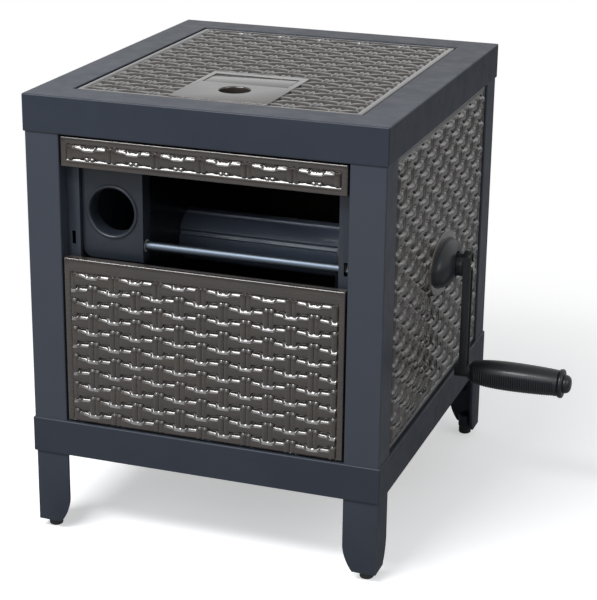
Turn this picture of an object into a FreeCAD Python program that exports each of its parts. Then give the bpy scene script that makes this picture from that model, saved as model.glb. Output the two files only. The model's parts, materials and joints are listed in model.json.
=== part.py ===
"""A decorative garden hose-reel cabinet: a framed box with basket-weave panels, a lidded top, a hose
guide behind a front window, and a hose reel inside that a side crank turns.

Units are millimetres. The origin is on the ground under the centre of the cabinet, +X points to the
crank's side, +Y to the back and +Z up. Each sub-part is written to parts/NODE.step.
"""
import FreeCAD, Part
import math
import os

# Cabinet frame
WIDTH = 495.0
DEPTH = 558.0
HEIGHT = 616.0
BAR = 50.0                # width and height of the cap's and the rail's bars
SHEET = 3.0               # wall of the cap and the rail
RAIL_BOTTOM = 116.0
RAIL_TOP = RAIL_BOTTOM + BAR
CAP_BOTTOM = HEIGHT - BAR
POST_INSET = 2.0          # the posts stand in behind the cap's and rail's faces
POST_WALL = 3.0
SOFT_EDGE = 2.0           # rounding of the frame's outer edges
OPENING_EDGE = 1.2        # rounding round the lid's opening

HALF_X = WIDTH / 2
HALF_Y = DEPTH / 2
OPEN_X = HALF_X - BAR     # half of the clear opening between the bars
OPEN_Y = HALF_Y - BAR

# Feet
FOOT_INSET = 3.0
FOOT_TOP_WIDTH = 47.0
FOOT_TOE_WIDTH = 33.0
FOOT_KNEE_Z = 59.0
FOOT_TOE_Z = 12.0
GLIDE_R = 9.5
FOOT_WALL = 4.0
GLIDE_FROM_CORNER = 17.0
GLIDE_SEAT_TOP_Z = 30.0
GLIDE_SEAT_WALL = 1.0
GLIDE_CHAMFER = 1.5
FOOT_BOLT_R = 4.0
FOOT_BOLT_HEAD = (6.5, 5.0)      # radius and height
FOOT_BOLT_END_Z = 80.0
FOOT_BOSS_R = 8.5
FOOT_BOSS_Z = 74.0
FOOT_RIB = 5.0
BOW_OUT = 0.76            # how far the inner edge's curve bows out, and up
BOW_UP = 0.42
PLUG_UP = 40.0            # how far the plugs reach into the posts' lower and upper ends
PLUG_DOWN = 30.0

# Floor pan
PAN_SHEET = 2.0
PAN_OVERLAP = 10.0        # how far the pan lies on the rail's lower lip
PAN_RIB = (8.0, 4.0)      # width and height
PAN_RIB_END = 20.0
PAN_RIB_Y = (-150.0, -50.0, 50.0, 150.0)
DRAIN_R = 5.0
DRAIN_X = (-120.0, 0.0, 120.0)
DRAIN_Y = (-100.0, 0.0, 100.0)

# Woven panels
PANEL_SKIN = 3.0
PANEL_RETURN = 12.0       # depth of the panels' turned-in edges
PANEL_BORDER = 9.0
WEAVE_RECESS = 1.0
FRONT_PANEL_Y = -HALF_Y + 2.5
FRONT_PANEL_HALF = 195.0
STRIP_Z = (523.5, 563.5)
LOWER_PANEL_Z = (168.5, 399.5)
SIDE_PANEL_X = 243.0
SIDE_PANEL_HALF = 227.5
BACK_PANEL_Y = 272.5
TALL_PANEL_Z = (168.5, 563.5)
CLIP = (9.5, 7.5, 20.0)   # panel clip: along the panel, in depth, in height
CLIP_SCREW_R = 2.0
CLIP_SCREW_HEAD = (3.5, 2.0)
FRONT_CLIP_Z = (543.0, 200.0, 285.0, 370.0)
TALL_CLIP_Z = (200.0, 366.0, 532.0)
BACK_PANEL_GAP = 1.0
PANEL_HOLE_GAP = 3.0      # round the neck and the inlet, in the side panels

# Reel, crank and water inlet share one axis along X
REEL_Y = 14.0
REEL_Z = 357.0
DRUM_R = 38.0
DRUM_WALL = 6.0
DRUM_HALF = 137.0
DRUM_BOSS_R = 5.5
DRUM_BOSS_AT = 30.5
DRUM_SLAT_COUNT = 7
DRUM_GROOVE = (8.6, 3.9)    # width and depth of the grooves between the drum's slats
DRUM_GROOVE_TURN = 71.5     # the first groove, in degrees from straight up towards the front
FLANGE_R = 155.0
FLANGE_WEB = 3.0
FLANGE_RIM = 8.0          # depth of the flange's rim and ribs
FLANGE_RIB_COUNT = 8
FLANGE_RIB_HALF = 2.0
FLANGE_RIM_WALL = 5.0
SPIGOT = 10.0             # how far the flanges' spigots reach into the drum
DRUM_SCREW_R = 2.0
DRUM_SCREW_HEAD = (4.0, 3.0)
DRUM_SCREW_GRIP = 12.0
HUB_R = 24.0
HUB_END = 155.0           # how far out the driven hub reaches
LEFT_HUB_END = 150.0
SHAFT_R = 10.0
SHAFT_START = 118.0
BEARING_R = 14.0
RUNNING_GAP = 0.05
COLLAR_R = 15.0
COLLAR_INNER = (17.0, 9.0)       # the inner collar's faces, in from the support
COLLAR_OUTER = (4.0, 10.0)       # the outer collar's faces, out from the support
BUSH_FLANGE = (5.0, 3.0)         # the bearing bush's flange: overhang and thickness
BUSH_TAIL = 8.0
DRIVE_PIN_R = 2.5
DRIVE_PIN_BACK = 6.0
TENON_R = 7.0
TENON_LENGTH = 3.0

# Side supports that carry the reel and the guide rods
SUPPORT_X = 179.0
SUPPORT_SHEET = 2.0
SUPPORT_FRONT_Y = -257.0
SUPPORT_TOP_Z = 560.0
SUPPORT_FOOT_X = 222.0
SUPPORT_BACK_X = 215.0
SUPPORT_ROOF_X = 195.0
SUPPORT_FOOT_GAP = 1.0
SUPPORT_SLOT_X = (186.0, 191.0)
SUPPORT_SLOT_LIFT = 6.0          # the slot's middle above the lower rod
SUPPORT_SLOT_HALF = 9.0
SUPPORT_SCREW_X = 210.0
SUPPORT_SCREW_Y = (-150.0, 0.0, 150.0)
SUPPORT_SCREW_R = 2.5
SUPPORT_SCREW_HEAD = (5.0, 3.0)

# Hose guide
GUIDE_ROD_R = 6.0
GUIDE_ROD_Y = -238.0
GUIDE_ROD_Z = (416.5, 545.0)
GUIDE_X = (-178.5, -92.0)
GUIDE_Y = (-250.0, -226.0)
GUIDE_Z = (396.0, 556.0)
EYE_X = -136.0
EYE_Z = 461.0
EYE_R = 31.0
EYE_SEAT_R = 34.0
EYE_LIP = 2.5             # the liner's lip: overhang and thickness
ROD_END = 8.0             # how far the rods stand out past the supports
ROD_NUT = (10.0, 7.0)
ROD_PASSAGE_GAP = 1.0
GUIDE_CORNER_R = 14.0
BUSH_R = 8.5
BUSH_LENGTH = 15.0

# Lid
LID_HALF = 195.0
LID_Y = (-226.5, 226.5)
LID_TOP = 615.0
LID_RIM = 12.0
LID_RIB = (3.0, 6.0)      # width and depth
LID_RIB_Y = (-60.0, 60.0, 160.0)
LID_BOSS = (12.0, 8.0)    # the pivot bosses' length and thickness
LID_PIN_IN = 6.0
LID_PIN_OUT = 2.0
LID_PIVOT_Y = 210.0
LID_PIVOT_Z = 607.5
LID_PIN_R = 3.0
LID_BUSH_R = LID_PIN_R + 1.5
LID_BUSH_FLANGE_R = 5.5
LID_BUSH_FLANGE = 1.5
LEDGE_Z = LID_TOP - LID_RIM
LEDGE_WIDTH = 8.0
LEDGE_END_Y = 185.0
LID_PAD_HALF = 68.0
LID_PAD_Y = (-222.0, -56.0)
FINGER_HOLE_Y = -157.0
FINGER_HOLE_R = 21.0
FINGER_COLLAR = (3.0, 5.0)       # wall and depth of the collar round the hole

# Crank
COVER_HALF_Y = 61.0       # oval covers round the shaft and the inlet
COVER_HALF_Z = 33.5
COVER_HEIGHT = 22.0
COVER_WALL = 3.0
PAD_MARGIN = 10.0
PAD_HEIGHT = 2.5
NECK_R = 16.0
NECK_X = 259.0
NECK_GAP = 2.0            # between the neck and the cover's hole
ARM_X = (273.0, 289.0)
ARM_HALF_WIDTH = 9.0
ARM_TOP_Z = 378.0
ARM_STRAP_X = (275.0, 283.5)
ARM_LIP = 2.5
ARM_BLOCK_IN = 6.0         # how far the grip's block reaches in towards the cabinet
ARM_BLOCK_UP = 8.0
ARM_BOSS = 1.5
CRANK_BOLT_R = 4.0
CRANK_BOLT_IN = 13.0
CRANK_BOLT_HEAD = (6.0, 3.5)
CRANK_RADIUS = 156.0
GRIP_Z = REEL_Z - CRANK_RADIUS
PIN_R = 5.0
PIN_PAST_GRIP = 6.0
PIN_COLLAR_R = 12.0
GRIP_END_GAP = 0.3
GRIP_BORE_R = 5.1
GRIP_X = (292.3, 424.0)
GRIP_PROFILE = ((0.0, 15.5), (0.05, 17.5), (0.2, 19.6), (0.42, 21.0), (0.7, 20.2), (0.94, 18.4))
GRIP_FLANGE_R = 20.5
CAP_R = 13.0
CAP_LENGTH = 9.7
CAP_ROUNDING = 0.8        # part of the cap's length

# Water inlet: a 3/4 inch garden hose thread (26.99 mm across its crests)
HOSE_THREAD_R = 13.495
HOSE_THREAD_LENGTH = 16.0
INLET_END_X = -290.0
INLET_R = 10.0
INLET_BORE_R = 6.5
INLET_BODY_R = 11.0
INLET_COLLAR = (18.0, 5.0)
INLET_NUT = (17.0, 8.0)
INLET_COVER_GAP = 1.0
INLET_TIP_X = -104.0
SEAL_X = (-140.0, -132.0)
SEAL_WIDTH = 3.0
SEAL_GROOVE_R = 8.5
SEAL_SQUEEZE = 0.02
SLEEVE_R = 14.0
SWIVEL_X = (-150.0, -80.0)
OUTLET_X = -96.0
OUTLET_BORE_R = 7.0
OUTLET_BODY_R = 11.0
OUTLET_BORE_PAST = 5.0
SWIVEL_FLOOR = 2.0
OUTLET_HOLE_R = HOSE_THREAD_R + 0.6
OUTLET_REACH = 62.0       # from the reel's axis to the outlet's end

V = FreeCAD.Vector
SIDES = (-1, 1)
CORNERS = [(sx, sy) for sx in SIDES for sy in SIDES]


def box(x, y, z):
    """A block between the two limits on each axis, in either order."""
    low = [min(span) for span in (x, y, z)]
    high = [max(span) for span in (x, y, z)]
    return Part.makeBox(high[0] - low[0], high[1] - low[1], high[2] - low[2], V(*low))


def bar_x(radius, x, y, z):
    """A round bar along X between the two limits."""
    return Part.makeCylinder(radius, abs(x[1] - x[0]), V(min(x), y, z), V(1, 0, 0))


def bar_y(radius, y, x, z):
    """A round bar along Y between the two limits."""
    return Part.makeCylinder(radius, abs(y[1] - y[0]), V(x, min(y), z), V(0, 1, 0))


def bar_z(radius, z, x, y):
    """A round bar along Z between the two limits."""
    return Part.makeCylinder(radius, abs(z[1] - z[0]), V(x, y, min(z)), V(0, 0, 1))


def hex_x(across_corners_r, x, y, z):
    """A hexagonal bar along X."""
    turns = [k * math.pi / 3 for k in range(7)]
    points = [V(x[0], y + across_corners_r * math.cos(a), z + across_corners_r * math.sin(a)) for a in turns]
    return Part.Face(Part.makePolygon(points)).extrude(V(x[1] - x[0], 0, 0))


def join(shapes):
    """The shapes fused into one solid, with leftover seams removed."""
    whole = shapes[0].multiFuse(list(shapes[1:]))
    return whole.removeSplitter()


def turned_x(profile, y, z):
    """A solid of revolution about an axis along X. The profile is a list of (x, radius)."""
    points = [V(x, y, z + r) for x, r in profile]
    face = Part.Face(Part.makePolygon(points + points[:1]))
    return face.revolve(V(0, y, z), V(1, 0, 0), 360)


def mirrored_x(shape):
    return shape.mirror(V(0, 0, 0), V(1, 0, 0))


def round_edges(shape, radius, wanted):
    """Rounds the edges for which wanted(edge) is true."""
    return shape.makeFillet(radius, [edge for edge in shape.Edges if wanted(edge)])


def is_upright(edge):
    first, last = edge.Vertexes[0].Point, edge.Vertexes[-1].Point
    return abs(first.x - last.x) + abs(first.y - last.y) < 1e-6


def square_ring(half_x, half_y, inner_x, inner_y, z):
    return box((-half_x, half_x), (-half_y, half_y), z).cut(box((-inner_x, inner_x), (-inner_y, inner_y), z))


# ---------------------------------------------------------------- frame

def top_frame():
    """The cap: a flat top with a deep outer skirt, a short inner skirt and a ledge that the lid rests on."""
    cap = box((-HALF_X, HALF_X), (-HALF_Y, HALF_Y), (CAP_BOTTOM, HEIGHT))
    cap = cap.makeFillet(SOFT_EDGE, cap.Edges)
    cap = cap.cut(box((-OPEN_X, OPEN_X), (-OPEN_Y, OPEN_Y), (CAP_BOTTOM, HEIGHT)))

    def opening_edge(edge):
        middle = edge.BoundBox.Center
        on_top = edge.BoundBox.ZMin > HEIGHT - 1e-3
        return on_top and abs(middle.x) < OPEN_X + 1.0 and abs(middle.y) < OPEN_Y + 1.0

    cap = round_edges(cap, OPENING_EDGE, opening_edge)
    skirt_x = HALF_X - SHEET
    skirt_y = HALF_Y - SHEET
    hollow = square_ring(skirt_x, skirt_y, OPEN_X + SHEET, OPEN_Y + SHEET, (CAP_BOTTOM, HEIGHT - SHEET))
    cap = cap.cut(hollow)
    ledge_bottom = LEDGE_Z - SHEET
    cap = cap.cut(square_ring(OPEN_X + SHEET, OPEN_Y + SHEET, OPEN_X, OPEN_Y, (CAP_BOTTOM, ledge_bottom)))
    ledge_z = (ledge_bottom, LEDGE_Z)
    front_ledge = box((-OPEN_X, OPEN_X), (-OPEN_Y, -OPEN_Y + LEDGE_WIDTH), ledge_z)
    ledge_y = (-OPEN_Y, LEDGE_END_Y)
    side_ledges = [box((s * OPEN_X, s * (OPEN_X - LEDGE_WIDTH)), ledge_y, ledge_z) for s in SIDES]
    cap = join([cap, front_ledge] + side_ledges)
    for s in SIDES:
        cap = cap.cut(bar_x(LID_BUSH_R, (s * OPEN_X, s * (OPEN_X + SHEET)), LID_PIVOT_Y, LID_PIVOT_Z))
    return cap


def base_frame():
    """The bottom rail: a rolled channel, open towards the inside, all round the cabinet."""
    rail = box((-HALF_X, HALF_X), (-HALF_Y, HALF_Y), (RAIL_BOTTOM, RAIL_TOP))
    rail = rail.makeFillet(SOFT_EDGE, rail.Edges)
    rail = rail.cut(box((-OPEN_X, OPEN_X), (-OPEN_Y, OPEN_Y), (RAIL_BOTTOM, RAIL_TOP)))
    channel_z = (RAIL_BOTTOM + SHEET, RAIL_TOP - SHEET)
    channel = square_ring(HALF_X - SHEET, HALF_Y - SHEET, OPEN_X, OPEN_Y, channel_z)
    return rail.cut(channel).cut(foot_bolts()).cut(support_screws())


def post(sx, sy):
    """A square tube at one corner, between the rail and the cap."""
    outer = (sx * OPEN_X, sx * (HALF_X - POST_INSET))
    depth = (sy * OPEN_Y, sy * (HALF_Y - POST_INSET))
    tube = box(outer, depth, (RAIL_TOP, CAP_BOTTOM))
    tube = round_edges(tube, SOFT_EDGE, is_upright)
    bore_x = (sx * (OPEN_X + POST_WALL), sx * (HALF_X - POST_INSET - POST_WALL))
    bore_y = (sy * (OPEN_Y + POST_WALL), sy * (HALF_Y - POST_INSET - POST_WALL))
    return tube.cut(box(bore_x, bore_y, (RAIL_TOP, CAP_BOTTOM)))


def corner_plugs(z):
    """Square plugs that hold the four posts' ends."""
    return Part.makeCompound([
        box(
            (sx * (OPEN_X + POST_WALL), sx * (HALF_X - POST_INSET - POST_WALL)),
            (sy * (OPEN_Y + POST_WALL), sy * (HALF_Y - POST_INSET - POST_WALL)),
            z,
        )
        for sx, sy in CORNERS
    ])


def foot_side():
    """One face of a foot as an outline in (distance from the outer edge, height)."""
    knee = V(FOOT_TOP_WIDTH, 0, FOOT_KNEE_Z)
    toe = V(FOOT_TOE_WIDTH, 0, FOOT_TOE_Z)
    bow_out = (1 - BOW_OUT) * FOOT_TOE_WIDTH + BOW_OUT * FOOT_TOP_WIDTH
    bow = V(bow_out, 0, (1 - BOW_UP) * FOOT_TOE_Z + BOW_UP * FOOT_KNEE_Z)
    outer_toe = V(0, 0, FOOT_TOE_Z)
    outer_top = V(0, 0, RAIL_BOTTOM)
    inner_top = V(FOOT_TOP_WIDTH, 0, RAIL_BOTTOM)
    edges = [
        Part.makeLine(outer_toe, outer_top),
        Part.makeLine(outer_top, inner_top),
        Part.makeLine(inner_top, knee),
        Part.Arc(knee, bow, toe).toShape(),
        Part.makeLine(toe, outer_toe),
    ]
    return Part.Face(Part.Wire(edges))


def foot_inside():
    """What stands inside a foot's two walls: a bolt boss on two ribs and a seat over the glide."""
    middle = FOOT_TOP_WIDTH / 2
    rib = (middle - FOOT_RIB / 2, middle + FOOT_RIB / 2)
    boss_z = (FOOT_BOSS_Z, RAIL_BOTTOM)
    seat_z = (FOOT_TOE_Z, GLIDE_SEAT_TOP_Z)
    corner = (0.0, GLIDE_FROM_CORNER)
    return join([
        bar_z(FOOT_BOSS_R, boss_z, middle, middle),
        box((0.0, middle), rib, boss_z),
        box(rib, (0.0, middle), boss_z),
        bar_z(GLIDE_R + GLIDE_SEAT_WALL, seat_z, GLIDE_FROM_CORNER, GLIDE_FROM_CORNER),
        box(corner, corner, seat_z),
    ])


def foot(sx, sy):
    """A tapered foot of two walls round the corner, open on its inner side."""
    one_way = foot_side().extrude(V(0, FOOT_TOP_WIDTH, 0))
    other_way = one_way.copy()
    other_way.rotate(V(0, 0, 0), V(0, 0, 1), 90)
    other_way.translate(V(FOOT_TOP_WIDTH, 0, 0))
    leg = one_way.common(other_way)
    behind = (FOOT_WALL, FOOT_TOP_WIDTH)
    leg = leg.cut(box(behind, behind, (0.0, RAIL_BOTTOM)).cut(foot_inside()))
    leg.translate(V(-HALF_X + FOOT_INSET, -HALF_Y + FOOT_INSET, 0))
    if sx > 0:
        leg = leg.mirror(V(0, 0, 0), V(1, 0, 0))
    if sy > 0:
        leg = leg.mirror(V(0, 0, 0), V(0, 1, 0))
    return leg.cut(foot_bolts())


def foot_bolts():
    """A bolt through the rail into each foot."""
    at_x = HALF_X - FOOT_INSET - FOOT_TOP_WIDTH / 2
    at_y = HALF_Y - FOOT_INSET - FOOT_TOP_WIDTH / 2
    head = RAIL_BOTTOM + SHEET
    bolts = []
    for sx, sy in CORNERS:
        shank = bar_z(FOOT_BOLT_R, (FOOT_BOLT_END_Z, head), sx * at_x, sy * at_y)
        cap = bar_z(FOOT_BOLT_HEAD[0], (head, head + FOOT_BOLT_HEAD[1]), sx * at_x, sy * at_y)
        bolts.append(join([shank, cap]))
    return Part.makeCompound(bolts)


def foot_glides():
    """A round glide under each foot."""
    glides = []
    for sx, sy in CORNERS:
        x = sx * (HALF_X - FOOT_INSET - GLIDE_FROM_CORNER)
        y = sy * (HALF_Y - FOOT_INSET - GLIDE_FROM_CORNER)
        glide = bar_z(GLIDE_R, (0.0, FOOT_TOE_Z), x, y)
        glides.append(glide.makeChamfer(GLIDE_CHAMFER, [e for e in glide.Edges if e.BoundBox.ZMax < 1e-3]))
    return Part.makeCompound(glides)


def floor_pan():
    """A tray on the rail's lower lip, with stiffening ribs and drain holes."""
    half_x = OPEN_X + PAN_OVERLAP
    half_y = OPEN_Y + PAN_OVERLAP
    top = RAIL_BOTTOM + SHEET + PAN_SHEET
    pan = box((-half_x, half_x), (-half_y, half_y), (RAIL_BOTTOM + SHEET, top))
    rib_x = (-OPEN_X + PAN_RIB_END, OPEN_X - PAN_RIB_END)
    rib_half = PAN_RIB[0] / 2
    ribs = [box(rib_x, (y - rib_half, y + rib_half), (top, top + PAN_RIB[1])) for y in PAN_RIB_Y]
    pan = join([pan] + ribs)
    drains = [bar_z(DRAIN_R, (RAIL_BOTTOM, top), x, y) for x in DRAIN_X for y in DRAIN_Y]
    return pan.cut(Part.makeCompound(drains))


# ---------------------------------------------------------------- woven panels

def woven_panel(half_width, height, pad=None):
    """A moulded panel seen from the front: face at y = 0, depth towards +y, foot at z = 0.

    Its edges turn in, a plain border runs all round, and the weave lies in a shallow recess.
    A pad is a plain raised place in the weave, given as a solid.
    """
    outer = box((-half_width, half_width), (0, PANEL_RETURN), (0, height))
    inner_half = half_width - PANEL_SKIN
    behind = box((-inner_half, inner_half), (PANEL_SKIN, PANEL_RETURN), (PANEL_SKIN, height - PANEL_SKIN))
    panel = outer.cut(behind)
    field_half = half_width - PANEL_BORDER
    recess = box((-field_half, field_half), (0, WEAVE_RECESS), (PANEL_BORDER, height - PANEL_BORDER))
    panel = panel.cut(recess)
    return join([panel, pad]) if pad else panel


def facing(shape, turn, position):
    """Turns a front-facing shape about Z and moves it into place."""
    shape.rotate(V(0, 0, 0), V(0, 0, 1), turn)
    shape.translate(V(*position))
    return shape


def front_strip_panel():
    panel = woven_panel(FRONT_PANEL_HALF, STRIP_Z[1] - STRIP_Z[0])
    return facing(panel, 0, (0, FRONT_PANEL_Y, STRIP_Z[0]))


def front_lower_panel():
    panel = woven_panel(FRONT_PANEL_HALF, LOWER_PANEL_Z[1] - LOWER_PANEL_Z[0])
    return facing(panel, 0, (0, FRONT_PANEL_Y, LOWER_PANEL_Z[0]))


def back_panel():
    panel = woven_panel(OPEN_X - BACK_PANEL_GAP, TALL_PANEL_Z[1] - TALL_PANEL_Z[0])
    return facing(panel, 180, (0, BACK_PANEL_Y, TALL_PANEL_Z[0]))


def side_panel(side):
    """A tall side panel with an oval raised pad about the reel's axis and a hole for the shaft."""
    oval = Part.Ellipse(V(0, 0, 0), COVER_HALF_Y + PAD_MARGIN, COVER_HALF_Z + PAD_MARGIN).toShape()
    pad = Part.Face(Part.Wire(oval)).extrude(V(0, 0, PAD_HEIGHT + PANEL_SKIN))
    pad.rotate(V(0, 0, 0), V(1, 0, 0), 90)
    pad.translate(V(side * REEL_Y, PANEL_SKIN, REEL_Z - TALL_PANEL_Z[0]))
    panel = woven_panel(SIDE_PANEL_HALF, TALL_PANEL_Z[1] - TALL_PANEL_Z[0], pad)
    panel = facing(panel, 90 * side, (side * SIDE_PANEL_X, 0, TALL_PANEL_Z[0]))
    hole_x = (side * (SIDE_PANEL_X - PANEL_RETURN), side * (SIDE_PANEL_X + PAD_HEIGHT))
    return panel.cut(bar_x(NECK_R + PANEL_HOLE_GAP, hole_x, REEL_Y, REEL_Z))


def clip_places():
    """The panel clips as (x limits, y limits, middle height, direction of the screw into the post)."""
    along, deep, _ = CLIP
    front_y = (FRONT_PANEL_Y + PANEL_RETURN, FRONT_PANEL_Y + PANEL_RETURN + deep)
    back_y = (BACK_PANEL_Y - PANEL_RETURN, BACK_PANEL_Y - PANEL_RETURN - deep)
    side_x = (SIDE_PANEL_X - PANEL_RETURN, SIDE_PANEL_X - PANEL_RETURN - deep)
    places = []
    for s in SIDES:
        across = (s * (OPEN_X - along), s * OPEN_X)
        places += [(across, front_y, z, (s, 0)) for z in FRONT_CLIP_Z]
        places += [(across, back_y, z, (s, 0)) for z in TALL_CLIP_Z]
        for t in SIDES:
            beside = (t * (OPEN_Y - along), t * OPEN_Y)
            places += [((s * side_x[0], s * side_x[1]), beside, z, (0, t)) for z in TALL_CLIP_Z]
    return places


def clip_screws():
    """One screw through each panel clip into its post."""
    head_r, head_height = CLIP_SCREW_HEAD
    screws = []
    for x, y, z, (dx, dy) in clip_places():
        middle_x = sum(x) / 2
        middle_y = sum(y) / 2
        if dx:
            inner = min(x, key=abs)
            shank = bar_x(CLIP_SCREW_R, (inner, dx * (OPEN_X + POST_WALL)), middle_y, z)
            head = bar_x(head_r, (inner, inner - head_height * dx), middle_y, z)
        else:
            inner = min(y, key=abs)
            shank = bar_y(CLIP_SCREW_R, (inner, dy * (OPEN_Y + POST_WALL)), middle_x, z)
            head = bar_y(head_r, (inner, inner - head_height * dy), middle_x, z)
        screws.append(join([shank, head]))
    return Part.makeCompound(screws)


def panel_clips():
    half = CLIP[2] / 2
    clips = [box(x, y, (z - half, z + half)) for x, y, z, _ in clip_places()]
    return Part.makeCompound(clips).cut(clip_screws())


# ---------------------------------------------------------------- reel supports and hose guide

def support_screws():
    """Screws through each support's foot into the rail."""
    top = RAIL_TOP + SUPPORT_SHEET
    screws = []
    for s in SIDES:
        for y in SUPPORT_SCREW_Y:
            shank = bar_z(SUPPORT_SCREW_R, (RAIL_TOP - SHEET, top), s * SUPPORT_SCREW_X, y)
            head = bar_z(SUPPORT_SCREW_HEAD[0], (top, top + SUPPORT_SCREW_HEAD[1]), s * SUPPORT_SCREW_X, y)
            screws.append(join([shank, head]))
    return Part.makeCompound(screws)


def reel_support(side, bore_r):
    """A sheet side wall with turned edges: it carries the reel's bearing and the guide rods' ends."""
    face = (SUPPORT_X, SUPPORT_X + SUPPORT_SHEET)
    back_y = OPEN_Y
    front_y = SUPPORT_FRONT_Y
    top = SUPPORT_TOP_Z
    foot_y = (-OPEN_Y + SUPPORT_FOOT_GAP, back_y)
    walls = [
        box(face, (front_y, back_y), (RAIL_TOP, top)),
        box((SUPPORT_X, OPEN_X), (front_y, front_y + SUPPORT_SHEET), (RAIL_TOP, top)),
        box((SUPPORT_X, SUPPORT_BACK_X), (back_y - SUPPORT_SHEET, back_y), (RAIL_TOP, top)),
        box((SUPPORT_X, SUPPORT_FOOT_X), foot_y, (RAIL_TOP, RAIL_TOP + SUPPORT_SHEET)),
        box((SUPPORT_X, SUPPORT_ROOF_X), (front_y, back_y), (top - SUPPORT_SHEET, top)),
    ]
    plate = join(walls)
    slot_z = GUIDE_ROD_Z[0] + SUPPORT_SLOT_LIFT
    slot_span = (slot_z - SUPPORT_SLOT_HALF, slot_z + SUPPORT_SLOT_HALF)
    plate = plate.cut(box(SUPPORT_SLOT_X, (front_y, front_y + SUPPORT_SHEET), slot_span))
    plate = plate.cut(bar_x(bore_r, face, REEL_Y, REEL_Z))
    for z in GUIDE_ROD_Z:
        plate = plate.cut(bar_x(GUIDE_ROD_R, face, GUIDE_ROD_Y, z))
    if side < 0:
        plate = mirrored_x(plate)
    return plate.cut(support_screws())


def guide_rod(z):
    """A ground rod from support to support."""
    half = SUPPORT_X + SUPPORT_SHEET + ROD_END
    return bar_x(GUIDE_ROD_R, (-half, half), GUIDE_ROD_Y, z)


def guide_rod_nuts():
    """A nut on each end of the two guide rods, outside the supports."""
    inner = SUPPORT_X + SUPPORT_SHEET
    nuts = []
    for s in SIDES:
        for z in GUIDE_ROD_Z:
            nut = hex_x(ROD_NUT[0], (s * inner, s * (inner + ROD_NUT[1])), GUIDE_ROD_Y, z)
            nuts.append(nut.cut(guide_rod(z)))
    return Part.makeCompound(nuts)


def hose_guide():
    """The sliding block that leads the hose: it runs on two rods and has a round eye."""
    block = box(GUIDE_X, GUIDE_Y, GUIDE_Z)

    def low_left_corner(edge):
        middle = edge.BoundBox.Center
        along_y = edge.BoundBox.YLength > 20.0
        return along_y and middle.x < GUIDE_X[0] + 1.0 and middle.z < GUIDE_Z[0] + 1.0

    block = round_edges(block, GUIDE_CORNER_R, low_left_corner)
    block = block.cut(bar_y(EYE_SEAT_R, GUIDE_Y, EYE_X, EYE_Z))
    for z in GUIDE_ROD_Z:
        block = block.cut(bar_x(GUIDE_ROD_R + ROD_PASSAGE_GAP, GUIDE_X, GUIDE_ROD_Y, z))
    return block.cut(guide_bushes())


def guide_bushes():
    """A plain bush at both ends of the block's two bores."""
    bushes = []
    for z in GUIDE_ROD_Z:
        for x in ((GUIDE_X[0], GUIDE_X[0] + BUSH_LENGTH), (GUIDE_X[1] - BUSH_LENGTH, GUIDE_X[1])):
            bush = bar_x(BUSH_R, x, GUIDE_ROD_Y, z)
            bushes.append(bush.cut(bar_x(GUIDE_ROD_R + RUNNING_GAP, x, GUIDE_ROD_Y, z)))
    return Part.makeCompound(bushes)


def guide_eye_ring():
    """A smooth liner in the eye, with a lip on the block's front and back."""
    depth = (GUIDE_Y[0] - EYE_LIP, GUIDE_Y[1] + EYE_LIP)
    sleeve = bar_y(EYE_SEAT_R, depth, EYE_X, EYE_Z)
    lips = [
        bar_y(EYE_SEAT_R + EYE_LIP, (depth[0], GUIDE_Y[0]), EYE_X, EYE_Z),
        bar_y(EYE_SEAT_R + EYE_LIP, (GUIDE_Y[1], depth[1]), EYE_X, EYE_Z),
    ]
    return join([sleeve] + lips).cut(bar_y(EYE_R, depth, EYE_X, EYE_Z))


# ---------------------------------------------------------------- lid

def lid():
    """The woven lid with its plain pad, finger hole and blank badge frame. It pivots near its back edge."""
    length = LID_Y[1] - LID_Y[0]
    pad_z = (LID_PAD_Y[0] - LID_Y[0], LID_PAD_Y[1] - LID_Y[0])
    pad = box((-LID_PAD_HALF, LID_PAD_HALF), (0, PANEL_SKIN), pad_z)
    panel = woven_panel(LID_HALF, length, pad)
    panel.rotate(V(0, 0, 0), V(1, 0, 0), -90)
    panel.translate(V(0, LID_Y[0], LID_TOP))
    underside = LID_TOP - PANEL_SKIN
    collar_wall, collar_depth = FINGER_COLLAR
    collar = bar_z(FINGER_HOLE_R + collar_wall, (underside - collar_depth, underside), 0, FINGER_HOLE_Y)
    inner = LID_HALF - PANEL_SKIN
    rib_half = LID_RIB[0] / 2
    rib_z = (underside - LID_RIB[1], underside)
    ribs = [box((-inner, inner), (y - rib_half, y + rib_half), rib_z) for y in LID_RIB_Y]
    boss_y = (LID_PIVOT_Y - LID_BOSS[0] / 2, LID_PIVOT_Y + LID_BOSS[0] / 2)
    bosses = [box((s * (inner - LID_BOSS[1]), s * inner), boss_y, (LEDGE_Z, underside)) for s in SIDES]
    whole = join([panel, collar] + ribs + bosses)
    whole = whole.cut(bar_z(FINGER_HOLE_R, (underside - collar_depth, LID_TOP), 0, FINGER_HOLE_Y))
    return whole.cut(lid_pivot_pins())


def lid_pivot_pins():
    """Two short pins fixed in the lid's side edges."""
    reach = (LID_HALF - PANEL_SKIN - LID_PIN_IN, OPEN_X + SHEET + LID_PIN_OUT)
    pins = [bar_x(LID_PIN_R, (s * reach[0], s * reach[1]), LID_PIVOT_Y, LID_PIVOT_Z) for s in SIDES]
    return Part.makeCompound(pins)


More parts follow.
